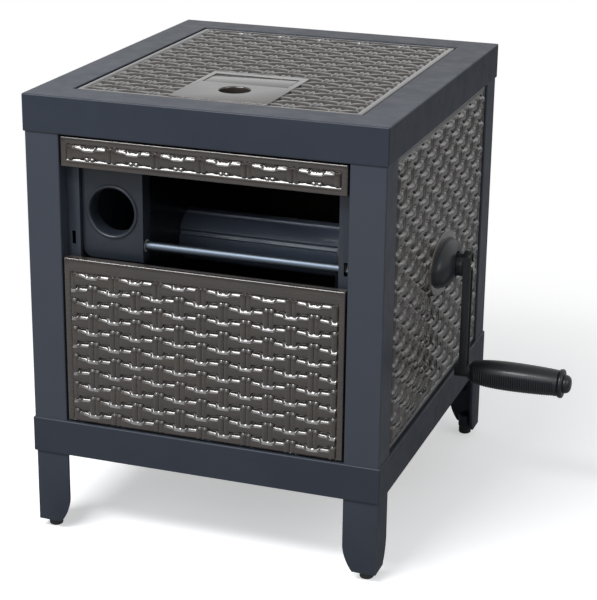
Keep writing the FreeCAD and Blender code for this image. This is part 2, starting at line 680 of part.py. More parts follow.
def lid_pivot_bushes():
    """Flanged bushes in the cap's inner skirt for the lid's pins."""
    bushes = []
    for s in SIDES:
        body = bar_x(LID_BUSH_R, (s * OPEN_X, s * (OPEN_X + SHEET + LID_PIN_OUT)), LID_PIVOT_Y, LID_PIVOT_Z)
        flange_x = (s * (OPEN_X - LID_BUSH_FLANGE), s * OPEN_X)
        flange = bar_x(LID_BUSH_FLANGE_R, flange_x, LID_PIVOT_Y, LID_PIVOT_Z)
        bore_x = (s * (OPEN_X - LID_BUSH_FLANGE), s * (OPEN_X + SHEET + LID_PIN_OUT))
        bore = bar_x(LID_PIN_R + RUNNING_GAP, bore_x, LID_PIVOT_Y, LID_PIVOT_Z)
        bushes.append(join([body, flange]).cut(bore))
    return Part.makeCompound(bushes)


# ---------------------------------------------------------------- reel

def boss_places():
    """The drum's four screw bosses as offsets (y, z) from the axis."""
    angles = [math.radians(45 + 90 * k) for k in range(4)]
    return [(DRUM_BOSS_AT * math.cos(a), DRUM_BOSS_AT * math.sin(a)) for a in angles]


def drum_screws():
    """Screws through both flanges into the drum's bosses."""
    web = DRUM_HALF + FLANGE_WEB
    screws = []
    for s in SIDES:
        for dy, dz in boss_places():
            shank_x = (s * (DRUM_HALF - DRUM_SCREW_GRIP), s * web)
            shank = bar_x(DRUM_SCREW_R, shank_x, REEL_Y + dy, REEL_Z + dz)
            head_x = (s * web, s * (web + DRUM_SCREW_HEAD[1]))
            head = bar_x(DRUM_SCREW_HEAD[0], head_x, REEL_Y + dy, REEL_Z + dz)
            screws.append(join([shank, head]))
    return Part.makeCompound(screws)


def reel_drum():
    """The tube the hose winds on, grooved into slats, with inner screw bosses. The outlet passes its wall."""
    span = (-DRUM_HALF, DRUM_HALF)
    tube = bar_x(DRUM_R, span, REEL_Y, REEL_Z).cut(bar_x(DRUM_R - DRUM_WALL, span, REEL_Y, REEL_Z))
    bosses = [bar_x(DRUM_BOSS_R, span, REEL_Y + dy, REEL_Z + dz) for dy, dz in boss_places()]
    bosses = [boss.common(bar_x(DRUM_R - DRUM_WALL / 2, span, REEL_Y, REEL_Z)) for boss in bosses]
    drum = join([tube] + bosses)
    width, depth = DRUM_GROOVE
    for k in range(DRUM_SLAT_COUNT):
        groove = box(span, (-width / 2, width / 2), (DRUM_R - depth, DRUM_R + depth))
        groove.rotate(V(0, 0, 0), V(1, 0, 0), DRUM_GROOVE_TURN + 360.0 / DRUM_SLAT_COUNT * k)
        groove.translate(V(0, REEL_Y, REEL_Z))
        drum = drum.cut(groove)
    drum = drum.cut(bar_y(OUTLET_HOLE_R, (REEL_Y, REEL_Y + DRUM_R), OUTLET_X, REEL_Z))
    return drum.cut(drum_screws())


def reel_flange(bore_r, hub_end):
    """The right-hand reel flange: web, rim, ribs and hub, with a spigot inside the drum."""
    web_x = (DRUM_HALF, DRUM_HALF + FLANGE_WEB)
    deep_x = (DRUM_HALF + FLANGE_WEB, DRUM_HALF + FLANGE_RIM)
    web = bar_x(FLANGE_R, web_x, REEL_Y, REEL_Z)
    rim = bar_x(FLANGE_R, deep_x, REEL_Y, REEL_Z)
    rim = rim.cut(bar_x(FLANGE_R - FLANGE_RIM_WALL, deep_x, REEL_Y, REEL_Z))
    hub = bar_x(HUB_R, (deep_x[0], hub_end), REEL_Y, REEL_Z)
    spigot = bar_x(HUB_R, (DRUM_HALF - SPIGOT, DRUM_HALF), REEL_Y, REEL_Z)
    ribs = []
    for k in range(FLANGE_RIB_COUNT):
        rib_z = (HUB_R - 1.0, FLANGE_R - FLANGE_RIM_WALL + 1.0)
        rib = box(deep_x, (-FLANGE_RIB_HALF, FLANGE_RIB_HALF), rib_z)
        rib.rotate(V(0, 0, 0), V(1, 0, 0), 360.0 / FLANGE_RIB_COUNT * k)
        rib.translate(V(0, REEL_Y, REEL_Z))
        ribs.append(rib)
    whole = join([web, rim, hub, spigot] + ribs)
    return whole.cut(bar_x(bore_r, (DRUM_HALF - SPIGOT, hub_end), REEL_Y, REEL_Z))


def reel_flange_right():
    return reel_flange(SHAFT_R, HUB_END).cut(drum_screws()).cut(drive_pin())


def reel_flange_left():
    return mirrored_x(reel_flange(SLEEVE_R, LEFT_HUB_END)).cut(drum_screws())


def drive_pin():
    """A cross pin that locks the right flange to the shaft."""
    return bar_y(DRIVE_PIN_R, (REEL_Y - HUB_R, REEL_Y + HUB_R), HUB_END - DRIVE_PIN_BACK, REEL_Z)


def reel_shaft():
    """The crank shaft from the drum, through the bearing, to the arm."""
    thick = bar_x(SHAFT_R, (SHAFT_START, ARM_X[0]), REEL_Y, REEL_Z)
    tenon = bar_x(TENON_R, (ARM_X[0], ARM_STRAP_X[0] + TENON_LENGTH), REEL_Y, REEL_Z)
    return join([thick, tenon]).cut(crank_bolt()).cut(drive_pin())


def shaft_bush():
    """A flanged bearing bush in the right-hand support."""
    plate_out = SUPPORT_X + SUPPORT_SHEET
    overhang, thickness = BUSH_FLANGE
    body = bar_x(BEARING_R, (SUPPORT_X - BUSH_TAIL, plate_out), REEL_Y, REEL_Z)
    flange = bar_x(BEARING_R + overhang, (plate_out, plate_out + thickness), REEL_Y, REEL_Z)
    bore = bar_x(SHAFT_R + RUNNING_GAP, (SUPPORT_X - BUSH_TAIL, plate_out + thickness), REEL_Y, REEL_Z)
    return join([body, flange]).cut(bore)


def shaft_collars():
    """Two collars on the shaft, one each side of the bearing, that keep the reel from sliding sideways."""
    outer_face = SUPPORT_X + SUPPORT_SHEET
    inner_span = tuple(SUPPORT_X - reach for reach in COLLAR_INNER)
    outer_span = tuple(outer_face + reach for reach in COLLAR_OUTER)
    rings = []
    for x in (inner_span, outer_span):
        rings.append(bar_x(COLLAR_R, x, REEL_Y, REEL_Z).cut(bar_x(SHAFT_R, x, REEL_Y, REEL_Z)))
    return Part.makeCompound(rings)


# ---------------------------------------------------------------- water path

def inlet_tube():
    """The fixed inlet: a hose thread outside, a collar on the support, and a tube into the reel's hub."""
    plate_out = -(SUPPORT_X + SUPPORT_SHEET)
    profile = [
        (INLET_END_X, INLET_BORE_R),
        (INLET_END_X, HOSE_THREAD_R),
        (INLET_END_X + HOSE_THREAD_LENGTH, HOSE_THREAD_R),
        (INLET_END_X + HOSE_THREAD_LENGTH, INLET_BODY_R),
        (plate_out - INLET_COLLAR[1], INLET_BODY_R),
        (plate_out - INLET_COLLAR[1], INLET_COLLAR[0]),
        (plate_out, INLET_COLLAR[0]),
        (plate_out, INLET_R),
    ]
    for start in SEAL_X:
        profile += [
            (start, INLET_R),
            (start, SEAL_GROOVE_R),
            (start + SEAL_WIDTH, SEAL_GROOVE_R),
            (start + SEAL_WIDTH, INLET_R),
        ]
    profile += [(INLET_TIP_X, INLET_R), (INLET_TIP_X, INLET_BORE_R)]
    return turned_x(profile, REEL_Y, REEL_Z)


def inlet_lock_nut():
    """The nut that holds the inlet to the left support."""
    x = (-SUPPORT_X, -SUPPORT_X + INLET_NUT[1])
    return hex_x(INLET_NUT[0], x, REEL_Y, REEL_Z).cut(bar_x(INLET_R, x, REEL_Y, REEL_Z))


def inlet_seals():
    """Two O-rings in the inlet's grooves."""
    thick = INLET_R + SEAL_SQUEEZE - SEAL_GROOVE_R
    ring_r = SEAL_GROOVE_R + thick / 2
    middles = [V(start + SEAL_WIDTH / 2, REEL_Y, REEL_Z) for start in SEAL_X]
    rings = [Part.makeTorus(ring_r, thick / 2, middle, V(1, 0, 0)) for middle in middles]
    return Part.makeCompound(rings)


def outlet_elbow():
    """The rotating outlet: a sleeve on the inlet tube, and a branch through the drum with a hose thread."""
    sleeve = bar_x(SLEEVE_R, SWIVEL_X, REEL_Y, REEL_Z)
    thread_y = (REEL_Y + OUTLET_REACH - HOSE_THREAD_LENGTH, REEL_Y + OUTLET_REACH)
    branch = bar_y(OUTLET_BODY_R, (REEL_Y, thread_y[0]), OUTLET_X, REEL_Z)
    thread = bar_y(HOSE_THREAD_R, thread_y, OUTLET_X, REEL_Z)
    elbow = join([sleeve, branch, thread])
    elbow = elbow.cut(bar_x(INLET_R + RUNNING_GAP, (SWIVEL_X[0], INLET_TIP_X + SWIVEL_FLOOR), REEL_Y, REEL_Z))
    elbow = elbow.cut(bar_x(OUTLET_BORE_R, (INLET_TIP_X, OUTLET_X + OUTLET_BORE_PAST), REEL_Y, REEL_Z))
    return elbow.cut(bar_y(OUTLET_BORE_R, (REEL_Y, REEL_Y + OUTLET_REACH), OUTLET_X, REEL_Z))


# ---------------------------------------------------------------- crank

def half_ellipsoid(half_y, half_z, height):
    """A dome on the right-hand panel's pad, around the reel's axis."""
    ball = Part.makeSphere(1.0)
    stretch = FreeCAD.Matrix()
    stretch.scale(height, half_y, half_z)
    dome = ball.transformGeometry(stretch)
    dome.translate(V(SIDE_PANEL_X + PAD_HEIGHT, REEL_Y, REEL_Z))
    foot_x = SIDE_PANEL_X + PAD_HEIGHT
    span_y = (REEL_Y - half_y, REEL_Y + half_y)
    span_z = (REEL_Z - half_z, REEL_Z + half_z)
    return dome.cut(box((foot_x - height, foot_x), span_y, span_z))


def oval_cover(side, hole_r):
    """A hollow oval dome on a side panel's pad with a round hole on the reel's axis."""
    outer = half_ellipsoid(COVER_HALF_Y, COVER_HALF_Z, COVER_HEIGHT)
    inner = half_ellipsoid(COVER_HALF_Y - COVER_WALL, COVER_HALF_Z - COVER_WALL, COVER_HEIGHT - COVER_WALL)
    hole_x = (SIDE_PANEL_X, SIDE_PANEL_X + PAD_HEIGHT + COVER_HEIGHT)
    cover = outer.cut(inner).cut(bar_x(hole_r, hole_x, REEL_Y, REEL_Z))
    return cover if side > 0 else mirrored_x(cover)


def crank_bolt():
    """The bolt that holds the arm on the shaft."""
    seat = ARM_STRAP_X[1] + ARM_BOSS
    shank = bar_x(CRANK_BOLT_R, (ARM_X[0] - CRANK_BOLT_IN, seat), REEL_Y, REEL_Z)
    head = hex_x(CRANK_BOLT_HEAD[0], (seat, seat + CRANK_BOLT_HEAD[1]), REEL_Y, REEL_Z)
    return join([shank, head])


def crank_arm():
    """The arm: a neck on the shaft, a round-ended channelled strap, and a block for the grip's pin."""
    neck = bar_x(NECK_R, (NECK_X, ARM_STRAP_X[0]), REEL_Y, REEL_Z)
    across = (REEL_Y - ARM_HALF_WIDTH, REEL_Y + ARM_HALF_WIDTH)
    round_z = ARM_TOP_Z - ARM_HALF_WIDTH
    strap = box(ARM_STRAP_X, across, (GRIP_Z, round_z))
    top = bar_x(ARM_HALF_WIDTH, ARM_STRAP_X, REEL_Y, round_z)
    lip_x = (ARM_STRAP_X[1], ARM_STRAP_X[1] + ARM_LIP)
    lip_outer = join([bar_x(ARM_HALF_WIDTH, lip_x, REEL_Y, round_z), box(lip_x, across, (GRIP_Z, round_z))])
    inside_r = ARM_HALF_WIDTH - ARM_LIP
    inside_y = (REEL_Y - inside_r, REEL_Y + inside_r)
    lip_inner = join([bar_x(inside_r, lip_x, REEL_Y, round_z), box(lip_x, inside_y, (GRIP_Z, round_z))])
    lips = lip_outer.cut(lip_inner)
    boss = bar_x(inside_r + 0.5, (ARM_STRAP_X[1], ARM_STRAP_X[1] + ARM_BOSS), REEL_Y, REEL_Z)
    block_x = (ARM_STRAP_X[0] - ARM_BLOCK_IN, ARM_X[1])
    end = bar_x(ARM_HALF_WIDTH, block_x, REEL_Y, GRIP_Z)
    end_block = box(block_x, across, (GRIP_Z, GRIP_Z + ARM_BLOCK_UP))
    arm = join([neck, strap, top, lips, boss, end, end_block])
    return arm.cut(reel_shaft()).cut(crank_bolt()).cut(handle_pin())


def handle_pin():
    """The fixed pin the grip turns on."""
    return bar_x(PIN_R, (ARM_STRAP_X[0] - ARM_BLOCK_IN, GRIP_X[1] + PIN_PAST_GRIP), REEL_Y, GRIP_Z)


def grip_collar():
    """A collar on the pin between the arm and the grip."""
    x = (ARM_X[1], GRIP_X[0] - GRIP_END_GAP)
    return bar_x(PIN_COLLAR_R, x, REEL_Y, GRIP_Z).cut(bar_x(PIN_R, x, REEL_Y, GRIP_Z))


def crank_grip():
    """The turning grip: a barrel with a stop flange at its outer end."""
    length = GRIP_X[1] - GRIP_X[0]
    crest = [V(GRIP_X[0] + t * length, REEL_Y, GRIP_Z + r) for t, r in GRIP_PROFILE]
    curve = Part.BSplineCurve()
    curve.interpolate(crest)
    flange_x = crest[-1].x
    corners = [
        crest[-1],
        V(flange_x, REEL_Y, GRIP_Z + GRIP_FLANGE_R),
        V(GRIP_X[1], REEL_Y, GRIP_Z + GRIP_FLANGE_R),
        V(GRIP_X[1], REEL_Y, GRIP_Z + GRIP_BORE_R),
        V(GRIP_X[0], REEL_Y, GRIP_Z + GRIP_BORE_R),
        crest[0],
    ]
    outline = Part.Wire([curve.toShape()] + [Part.makeLine(a, b) for a, b in zip(corners, corners[1:])])
    return Part.Face(outline).revolve(V(0, REEL_Y, GRIP_Z), V(1, 0, 0), 360)


def grip_end_cap():
    """A rounded retaining cap on the pin's end."""
    start = GRIP_X[1] + GRIP_END_GAP
    cap = bar_x(CAP_R, (start, start + CAP_LENGTH), REEL_Y, GRIP_Z)
    end_edges = [edge for edge in cap.Edges if edge.BoundBox.XMin > start + CAP_LENGTH - 0.1]
    cap = cap.makeFillet(CAP_ROUNDING * CAP_LENGTH, end_edges)
    return cap.cut(handle_pin())


def parts():
    """Every sub-part by its node name."""
    made = {
        "top_frame": top_frame(),
        "base_frame": base_frame(),
        "top_corner_plugs": corner_plugs((CAP_BOTTOM - PLUG_DOWN, HEIGHT - SHEET)),
        "bottom_corner_plugs": corner_plugs((RAIL_TOP, RAIL_TOP + PLUG_UP)),
        "foot_bolts": foot_bolts(),
        "foot_glides": foot_glides(),
        "floor_pan": floor_pan(),
        "front_strip_panel": front_strip_panel(),
        "front_lower_panel": front_lower_panel(),
        "left_panel": side_panel(-1),
        "right_panel": side_panel(1),
        "back_panel": back_panel(),
        "panel_clips": panel_clips(),
        "clip_screws": clip_screws(),
        "reel_support_left": reel_support(-1, INLET_R),
        "reel_support_right": reel_support(1, BEARING_R),
        "support_screws": support_screws(),
        "lower_guide_rod": guide_rod(GUIDE_ROD_Z[0]),
        "upper_guide_rod": guide_rod(GUIDE_ROD_Z[1]),
        "guide_rod_nuts": guide_rod_nuts(),
        "hose_guide": hose_guide(),
        "guide_bushes": guide_bushes(),
        "guide_eye_ring": guide_eye_ring(),
        "lid": lid(),
        "lid_pivot_pins": lid_pivot_pins(),
        "lid_pivot_bushes": lid_pivot_bushes(),
        "reel_drum": reel_drum(),
        "reel_flange_left": reel_flange_left(),
        "reel_flange_right": reel_flange_right(),
        "drum_screws": drum_screws(),
        "reel_shaft": reel_shaft(),
        "drive_pin": drive_pin(),
        "shaft_bush": shaft_bush(),
        "shaft_collars": shaft_collars(),
        "inlet_tube": inlet_tube(),
        "inlet_lock_nut": inlet_lock_nut(),
        "inlet_seals": inlet_seals(),
        "inlet_cover": oval_cover(-1, HOSE_THREAD_R + INLET_COVER_GAP),
        "outlet_elbow": outlet_elbow(),
        "crank_cover": oval_cover(1, NECK_R + NECK_GAP),
        "crank_arm": crank_arm(),
        "crank_bolt": crank_bolt(),
        "handle_pin": handle_pin(),
        "grip_collar": grip_collar(),
        "crank_grip": crank_grip(),
        "grip_end_cap": grip_end_cap(),
    }
    names = {(-1, -1): "front_left", (1, -1): "front_right", (-1, 1): "back_left", (1, 1): "back_right"}
    for (sx, sy), name in names.items():
        made["post_" + name] = post(sx, sy).cut(clip_screws())
        made["foot_" + name] = foot(sx, sy)
    return made


os.makedirs("parts", exist_ok=True)
for node, shape in parts().items():
    shape.exportStep(f"parts/{node}.step")
    print(node, len(shape.Solids), "solids", round(shape.Volume / 1000.0, 1), "cm3", shape.isValid())
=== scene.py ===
"""The looks of a garden hose-reel cabinet: moulded basket-weave panels in a slate resin frame, a lid with
a finger hole, a sliding hose guide in the front window, a slatted reel drum and a side crank."""
import bmesh
import bpy
import json
import math
import numpy as np
from mathutils import Matrix, Vector


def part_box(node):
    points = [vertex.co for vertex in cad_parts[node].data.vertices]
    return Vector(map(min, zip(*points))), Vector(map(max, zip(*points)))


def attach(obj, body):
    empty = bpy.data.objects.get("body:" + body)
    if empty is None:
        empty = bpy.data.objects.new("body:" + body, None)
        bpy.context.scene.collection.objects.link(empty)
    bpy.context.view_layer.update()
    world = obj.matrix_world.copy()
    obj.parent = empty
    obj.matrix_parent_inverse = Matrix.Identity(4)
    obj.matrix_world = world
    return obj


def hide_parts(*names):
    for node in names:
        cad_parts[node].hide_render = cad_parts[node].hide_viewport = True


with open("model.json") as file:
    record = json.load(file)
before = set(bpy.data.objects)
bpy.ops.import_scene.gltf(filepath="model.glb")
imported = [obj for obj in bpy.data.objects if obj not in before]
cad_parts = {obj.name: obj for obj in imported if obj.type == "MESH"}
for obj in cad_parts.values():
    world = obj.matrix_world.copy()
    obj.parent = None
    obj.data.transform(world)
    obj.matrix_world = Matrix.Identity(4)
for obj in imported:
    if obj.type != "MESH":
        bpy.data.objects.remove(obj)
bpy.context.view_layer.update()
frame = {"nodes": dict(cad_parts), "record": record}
NODES = frame["nodes"]
MM = 0.001
MIX_A, MIX_B, MIX_RESULT = 6, 7, 2        # a mix node's colour sockets


# ------------------------------------------------------------------ materials

CLOUD_SCALE, GLOSS_SCALE, WAVE_SCALE = 9.0, 38.0, 22.0      # of a moulded finish's noises, per metre
NOISE_LOW, NOISE_HIGH = 0.3, 0.7                            # the range that most of a noise lies in
EDGE_FROM, EDGE_FULL = 0.52, 0.62                           # pointiness over which an edge turns lighter: partly rubbed, partly a painted highlight


def new_material(name):
    """An empty Principled material, its node tree and its shader."""
    material = bpy.data.materials.new(name)
    material.use_nodes = True
    nodes = material.node_tree.nodes
    nodes.clear()
    output = nodes.new("ShaderNodeOutputMaterial")
    shader = nodes.new("ShaderNodeBsdfPrincipled")
    material.node_tree.links.new(shader.outputs["BSDF"], output.inputs["Surface"])
    return material, material.node_tree, shader


def noise(tree, vector, scale, detail=3.0, rough=0.55):
    """A noise texture's value."""
    node = tree.nodes.new("ShaderNodeTexNoise")
    node.inputs["Scale"].default_value = scale
    node.inputs["Detail"].default_value = detail
    node.inputs["Roughness"].default_value = rough
    tree.links.new(vector, node.inputs["Vector"])
    return node.outputs["Fac"]


def stretched(tree, vector, scale):
    """The coordinates scaled by a different factor on each axis."""
    node = tree.nodes.new("ShaderNodeMapping")
    node.inputs["Scale"].default_value = scale
    tree.links.new(vector, node.inputs["Vector"])
    return node.outputs["Vector"]


def ramp(tree, fac, stops):
    """A colour that runs through the stops, each a (position, colour)."""
    node = tree.nodes.new("ShaderNodeValToRGB")
    elements = node.color_ramp.elements
    elements[0].position, elements[0].color = stops[0][0], (*stops[0][1], 1)
    elements[1].position, elements[1].color = stops[-1][0], (*stops[-1][1], 1)
    for position, colour in stops[1:-1]:
        element = elements.new(position)
        element.color = (*colour, 1)
    tree.links.new(fac, node.inputs["Fac"])
    return node.outputs["Color"]


def spread(tree, fac, low, high):
    """A noise value spread over the range from low to high."""
    node = tree.nodes.new("ShaderNodeMapRange")
    node.inputs["From Min"].default_value = NOISE_LOW
    node.inputs["From Max"].default_value = NOISE_HIGH
    node.inputs["To Min"].default_value = low
    node.inputs["To Max"].default_value = high
    tree.links.new(fac, node.inputs["Value"])
    return node.outputs["Result"]


def bump(tree, height, strength, distance, before=None):
    """A normal bent by the height, on top of an earlier normal if there is one."""
    node = tree.nodes.new("ShaderNodeBump")
    node.inputs["Strength"].default_value = strength
    node.inputs["Distance"].default_value = distance
    tree.links.new(height, node.inputs["Height"])
    if before is not None:
        tree.links.new(before, node.inputs["Normal"])
    return node.outputs["Normal"]


def object_coordinates(tree):
    return tree.nodes.new("ShaderNodeTexCoord").outputs["Object"]


def edge_light(tree, colour, wear_and_highlight, amount):
    """Rubbed and lit edges: the colour turns towards a lighter one where the surface is sharply convex,
    partly wear and partly a painted highlight.
    """
    geometry = tree.nodes.new("ShaderNodeNewGeometry")
    mask = tree.nodes.new("ShaderNodeMapRange")
    mask.inputs["From Min"].default_value = EDGE_FROM
    mask.inputs["From Max"].default_value = EDGE_FULL
    mask.inputs["To Max"].default_value = amount
    tree.links.new(geometry.outputs["Pointiness"], mask.inputs["Value"])
    mix = tree.nodes.new("ShaderNodeMix")
    mix.data_type = "RGBA"
    tree.links.new(mask.outputs["Result"], mix.inputs["Factor"])
    tree.links.new(colour, mix.inputs[MIX_A])
    mix.inputs[MIX_B].default_value = (*wear_and_highlight, 1)
    return mix.outputs[MIX_RESULT]


def moulded(name, dark, light, rough, grain_scale=900.0, grain=0.12, coat=0.0, wear_and_highlight=None, shine=0.5):
    """A moulded or painted finish: cloudy colour, uneven gloss and a fine pebbled grain."""
    material, tree, shader = new_material(name)
    where = object_coordinates(tree)
    cloud = noise(tree, where, CLOUD_SCALE, 4.0)
    colour = ramp(tree, cloud, [(NOISE_LOW, dark), (NOISE_HIGH, light)])
    # lighter convex edges: partly wear, partly a painted highlight
    if wear_and_highlight:
        colour = edge_light(tree, colour, wear_and_highlight, 0.5)
    tree.links.new(colour, shader.inputs["Base Color"])
    gloss = noise(tree, where, GLOSS_SCALE, 5.0)
    tree.links.new(spread(tree, gloss, rough - 0.05, rough + 0.06), shader.inputs["Roughness"])
    fine = noise(tree, where, grain_scale, 2.0)
    waves = noise(tree, where, WAVE_SCALE, 2.0)
    normal = bump(tree, waves, 0.015, 0.002)
    tree.links.new(bump(tree, fine, grain, 0.0004, normal), shader.inputs["Normal"])
    shader.inputs["Specular IOR Level"].default_value = shine
    shader.inputs["Coat Weight"].default_value = coat
    shader.inputs["Coat Roughness"].default_value = 0.12
    return material


# Places in the fibre noise and the brown at each
WICKER_BROWNS = ((0.25, (0.022, 0.0175, 0.0145)), (0.5, (0.034, 0.0272, 0.0232)),
                 (0.8, (0.050, 0.041, 0.036)))


def wicker(name, painted_light=1.0):
    """Bronze-brown moulded wicker: its fibres follow the mesh's weave attribute along each strand."""
    material, tree, shader = new_material(name)
    attribute = tree.nodes.new("ShaderNodeAttribute")
    attribute.attribute_name = "weave"
    local = attribute.outputs["Vector"]
    fibre = noise(tree, stretched(tree, local, (0.03, 1.1, 1.0)), 1.0, 4.0, 0.6)
    cloud = noise(tree, object_coordinates(tree), 14.0, 3.0)
    # painted_light scales the browns: below 1 it paints shade, above 1 a painted sheen
    stops = [(place, tuple(painted_light * c for c in brown)) for place, brown in WICKER_BROWNS]
    colour = ramp(tree, fibre, stops)
    tone = ramp(tree, cloud, [(NOISE_LOW, (0.86, 0.86, 0.88)), (NOISE_HIGH, (1.08, 1.05, 1.0))])
    mix = tree.nodes.new("ShaderNodeMix")
    mix.data_type = "RGBA"
    mix.blend_type = "MULTIPLY"
    mix.inputs["Factor"].default_value = 1.0
    tree.links.new(colour, mix.inputs[MIX_A])
    tree.links.new(tone, mix.inputs[MIX_B])
    tree.links.new(mix.outputs[MIX_RESULT], shader.inputs["Base Color"])
    tree.links.new(spread(tree, fibre, 0.17, 0.25), shader.inputs["Roughness"])
    tree.links.new(bump(tree, fibre, 0.2, 0.0003), shader.inputs["Normal"])
    shader.inputs["Specular Tint"].default_value = (1.0, 0.97, 0.95, 1)
    shader.inputs["Coat Weight"].default_value = 1.0
    shader.inputs["Coat Roughness"].default_value = 0.11
    return material


def turned_metal(name, colour, rough, axis_scale):
    """A turned or drawn metal: fine lines round it, uneven gloss."""
    material, tree, shader = new_material(name)
    where = object_coordinates(tree)
    lines = noise(tree, stretched(tree, where, axis_scale), 1.0, 4.0, 0.65)
    low = tuple(0.8 * c for c in colour)
    shades = ramp(tree, lines, [(NOISE_LOW, low), (NOISE_HIGH, colour)])
    tree.links.new(shades, shader.inputs["Base Color"])
    tree.links.new(spread(tree, lines, rough - 0.06, rough + 0.08), shader.inputs["Roughness"])
    tree.links.new(bump(tree, lines, 0.08, 0.0002), shader.inputs["Normal"])
    shader.inputs["Metallic"].default_value = 1.0
    return material


MATERIALS = {
    # the frame's convex edges turn lighter: partly wear, partly a painted highlight
    "frame": moulded("slate_resin", (0.0215, 0.0268, 0.0390), (0.0262, 0.0326, 0.0464), 0.40,
                     wear_and_highlight=(0.06, 0.068, 0.085), shine=0.30),
    "glide": moulded("glide_rubber", (0.022, 0.022, 0.023), (0.034, 0.033, 0.034), 0.7, 400.0, 0.3),
    "panel": wicker("bronze_wicker"),
    "hardware": turned_metal("zinc_plate", (0.58, 0.58, 0.56), 0.32, (300.0, 60.0, 60.0)),
    "support": moulded("support_paint", (0.016, 0.020, 0.029), (0.020, 0.025, 0.036), 0.42, 700.0, 0.1),
    "rod": turned_metal("rod_black", (0.13, 0.155, 0.19), 0.46, (8.0, 500.0, 500.0)),
    "black_plastic": moulded("black_plastic", (0.0065, 0.0078, 0.0105), (0.0095, 0.0112, 0.0150), 0.34,
                             grain_scale=800.0, grain=0.1, coat=0.15, shine=0.42),
    "bush": moulded("bush_plastic", (0.33, 0.33, 0.31), (0.38, 0.38, 0.36), 0.5),
    "brass": turned_metal("inlet_brass", (0.74, 0.52, 0.24), 0.28, (400.0, 40.0, 40.0)),
    "seal": moulded("seal_rubber", (0.015, 0.015, 0.016), (0.024, 0.024, 0.025), 0.6),
    "cover": moulded("cover_plastic", (0.0115, 0.0135, 0.018), (0.0150, 0.0170, 0.022), 0.36,
                     grain_scale=800.0, grain=0.08, coat=0.05, shine=0.4),
}
GUIDE_FINISH = moulded("guide_plastic", (0.0130, 0.0165, 0.0230), (0.0160, 0.0205, 0.0285), 0.40, 700.0, 0.1)
# the lid's weave: the panel wicker made darker, painted shade over the top face
LID_SHADED_WEAVE = wicker("lid_wicker_painted_shade", 0.62)
# the plain pads: the panel wicker made much lighter, a painted sheen of the bright studio
PAD_SHEEN_FINISH = wicker("plain_pad_painted_sheen", 1.9)
# the drum's colour is paler than its own dark blue: partly its colour, partly painted light that the lamps
# don't bring through the window
DRUM_LIT_FINISH = moulded("drum_plastic_painted_light", (0.160, 0.195, 0.265), (0.190, 0.225, 0.305), 0.40,
                      grain_scale=500.0, grain=0.03, coat=0.6, shine=1.0)


# ------------------------------------------------------------------ meshes

def add_object(name, mesh, body, slot, material=None):
    """Puts a mesh into the scene on its body, with its slot's material or its own."""
    obj = bpy.data.objects.new(name, mesh)
    bpy.context.scene.collection.objects.link(obj)
    mesh.materials.append(material or MATERIALS[slot])
    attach(obj, body)
    return obj


def shade(mesh, angle=35.0):
    """Smooth shading that breaks at edges sharper than the angle."""
    mesh.shade_smooth()
    mesh.set_sharp_from_angle(angle=math.radians(angle))


def node_facts(node):
    """The node's body and its material slot."""
    record = frame["record"]
    body = next(b for b, members in record["behaviour"]["bodies"].items() if node in members)
    slot = next(s["material_slot"] for s in record["subparts"] if s["node"] == node)
    return body, slot


SHARP_EDGE = 32.0         # degrees from which an edge is rounded
FLAT_EDGE = 0.5           # degrees up to which two faces become one
MERGE = 1e-6              # metres within which vertices are the same
FINE_MERGE = 1e-7


def softened(node, width, segments=3, material=None):
    """The CAD node's own shape with its sharp edges rounded a little."""
    body, slot = node_facts(node)
    shape = bmesh.new()
    shape.from_mesh(NODES[node].data)
    bmesh.ops.remove_doubles(shape, verts=shape.verts, dist=MERGE)
    bmesh.ops.dissolve_limit(shape, angle_limit=math.radians(FLAT_EDGE), verts=shape.verts, edges=shape.edges)
    shape.normal_update()
    least = math.radians(SHARP_EDGE)
    sharp = [e for e in shape.edges if e.is_manifold and e.calc_face_angle(0.0) > least]
    bmesh.ops.bevel(shape, geom=sharp, offset=width, offset_type="OFFSET", segments=segments, profile=0.5,
                    affect="EDGES", clamp_overlap=True)
    mesh = bpy.data.meshes.new(node + "_look")
    shape.to_mesh(mesh)
    shape.free()
    shade(mesh)
    obj = add_object(node + "_look", mesh, body, slot, material)
    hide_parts(node)
    return obj


# ------------------------------------------------------------------ woven panels

BAR_STEP = 30.9                         # from one pair of canes to the next
NORMAL_ROW = 19.7                       # the row height that the sizes below are given for
CANE_R = 3.75
CANE_PAIR_HALF = 2 * CANE_R + 0.2
CANE_HALF = CANE_R + 0.3
CANE_REACH_PER_ROW = 13.8 / NORMAL_ROW
CANE_FROM, CANE_RISE = -3.0, 5.0        # where a cane starts from, and how far its arch rises
CANE_SIDE_FALL = 2.6                    # from a cane's middle to its sides
CANE_POWER, ROUND_POWER = 2.8, 2.0      # of the arches along and across a cane
STRAND_HALF, STRAND_WAIST = 9.5, 7.1    # half widths of a strand: full, and where it crosses the canes
WAIST_FROM, WAIST_TO = 6.0, 12.5        # where it widens, from the canes' middle
STRAND_REACH = 25.0                     # from the canes' middle to where a strand dives under
STRAND_FROM, STRAND_RISE = -2.0, 3.9
STRAND_POWER = 4.0
CROWN_FALL = 0.35
SHOULDER, SHOULDER_SLOPE, SHOULDER_BEND = 4.2, 0.56, 0.045
EDGE_DROP, EDGE_WIDTH = 1.1, 0.8
CREST = 2.0                             # the weave's top over the panel's face
FLOOR = -3.0                            # the weave's ground, from the panel's face
OUT_OF_SIGHT = -9.0                     # lower than any strand or cane
EDGE_R = 1.6                            # rounding of the panel's outer edges
LIP, LIP_SLOPE = 1.7, 0.78              # the border slopes down to the weave
RETURN_DEPTH, RETURN_WALL = 12.0, 2.5   # the turned-in edge
STRAND, CANE, PLAIN = 1.0, 3.0, 7.0     # the weave attribute's third value, by kind of surface
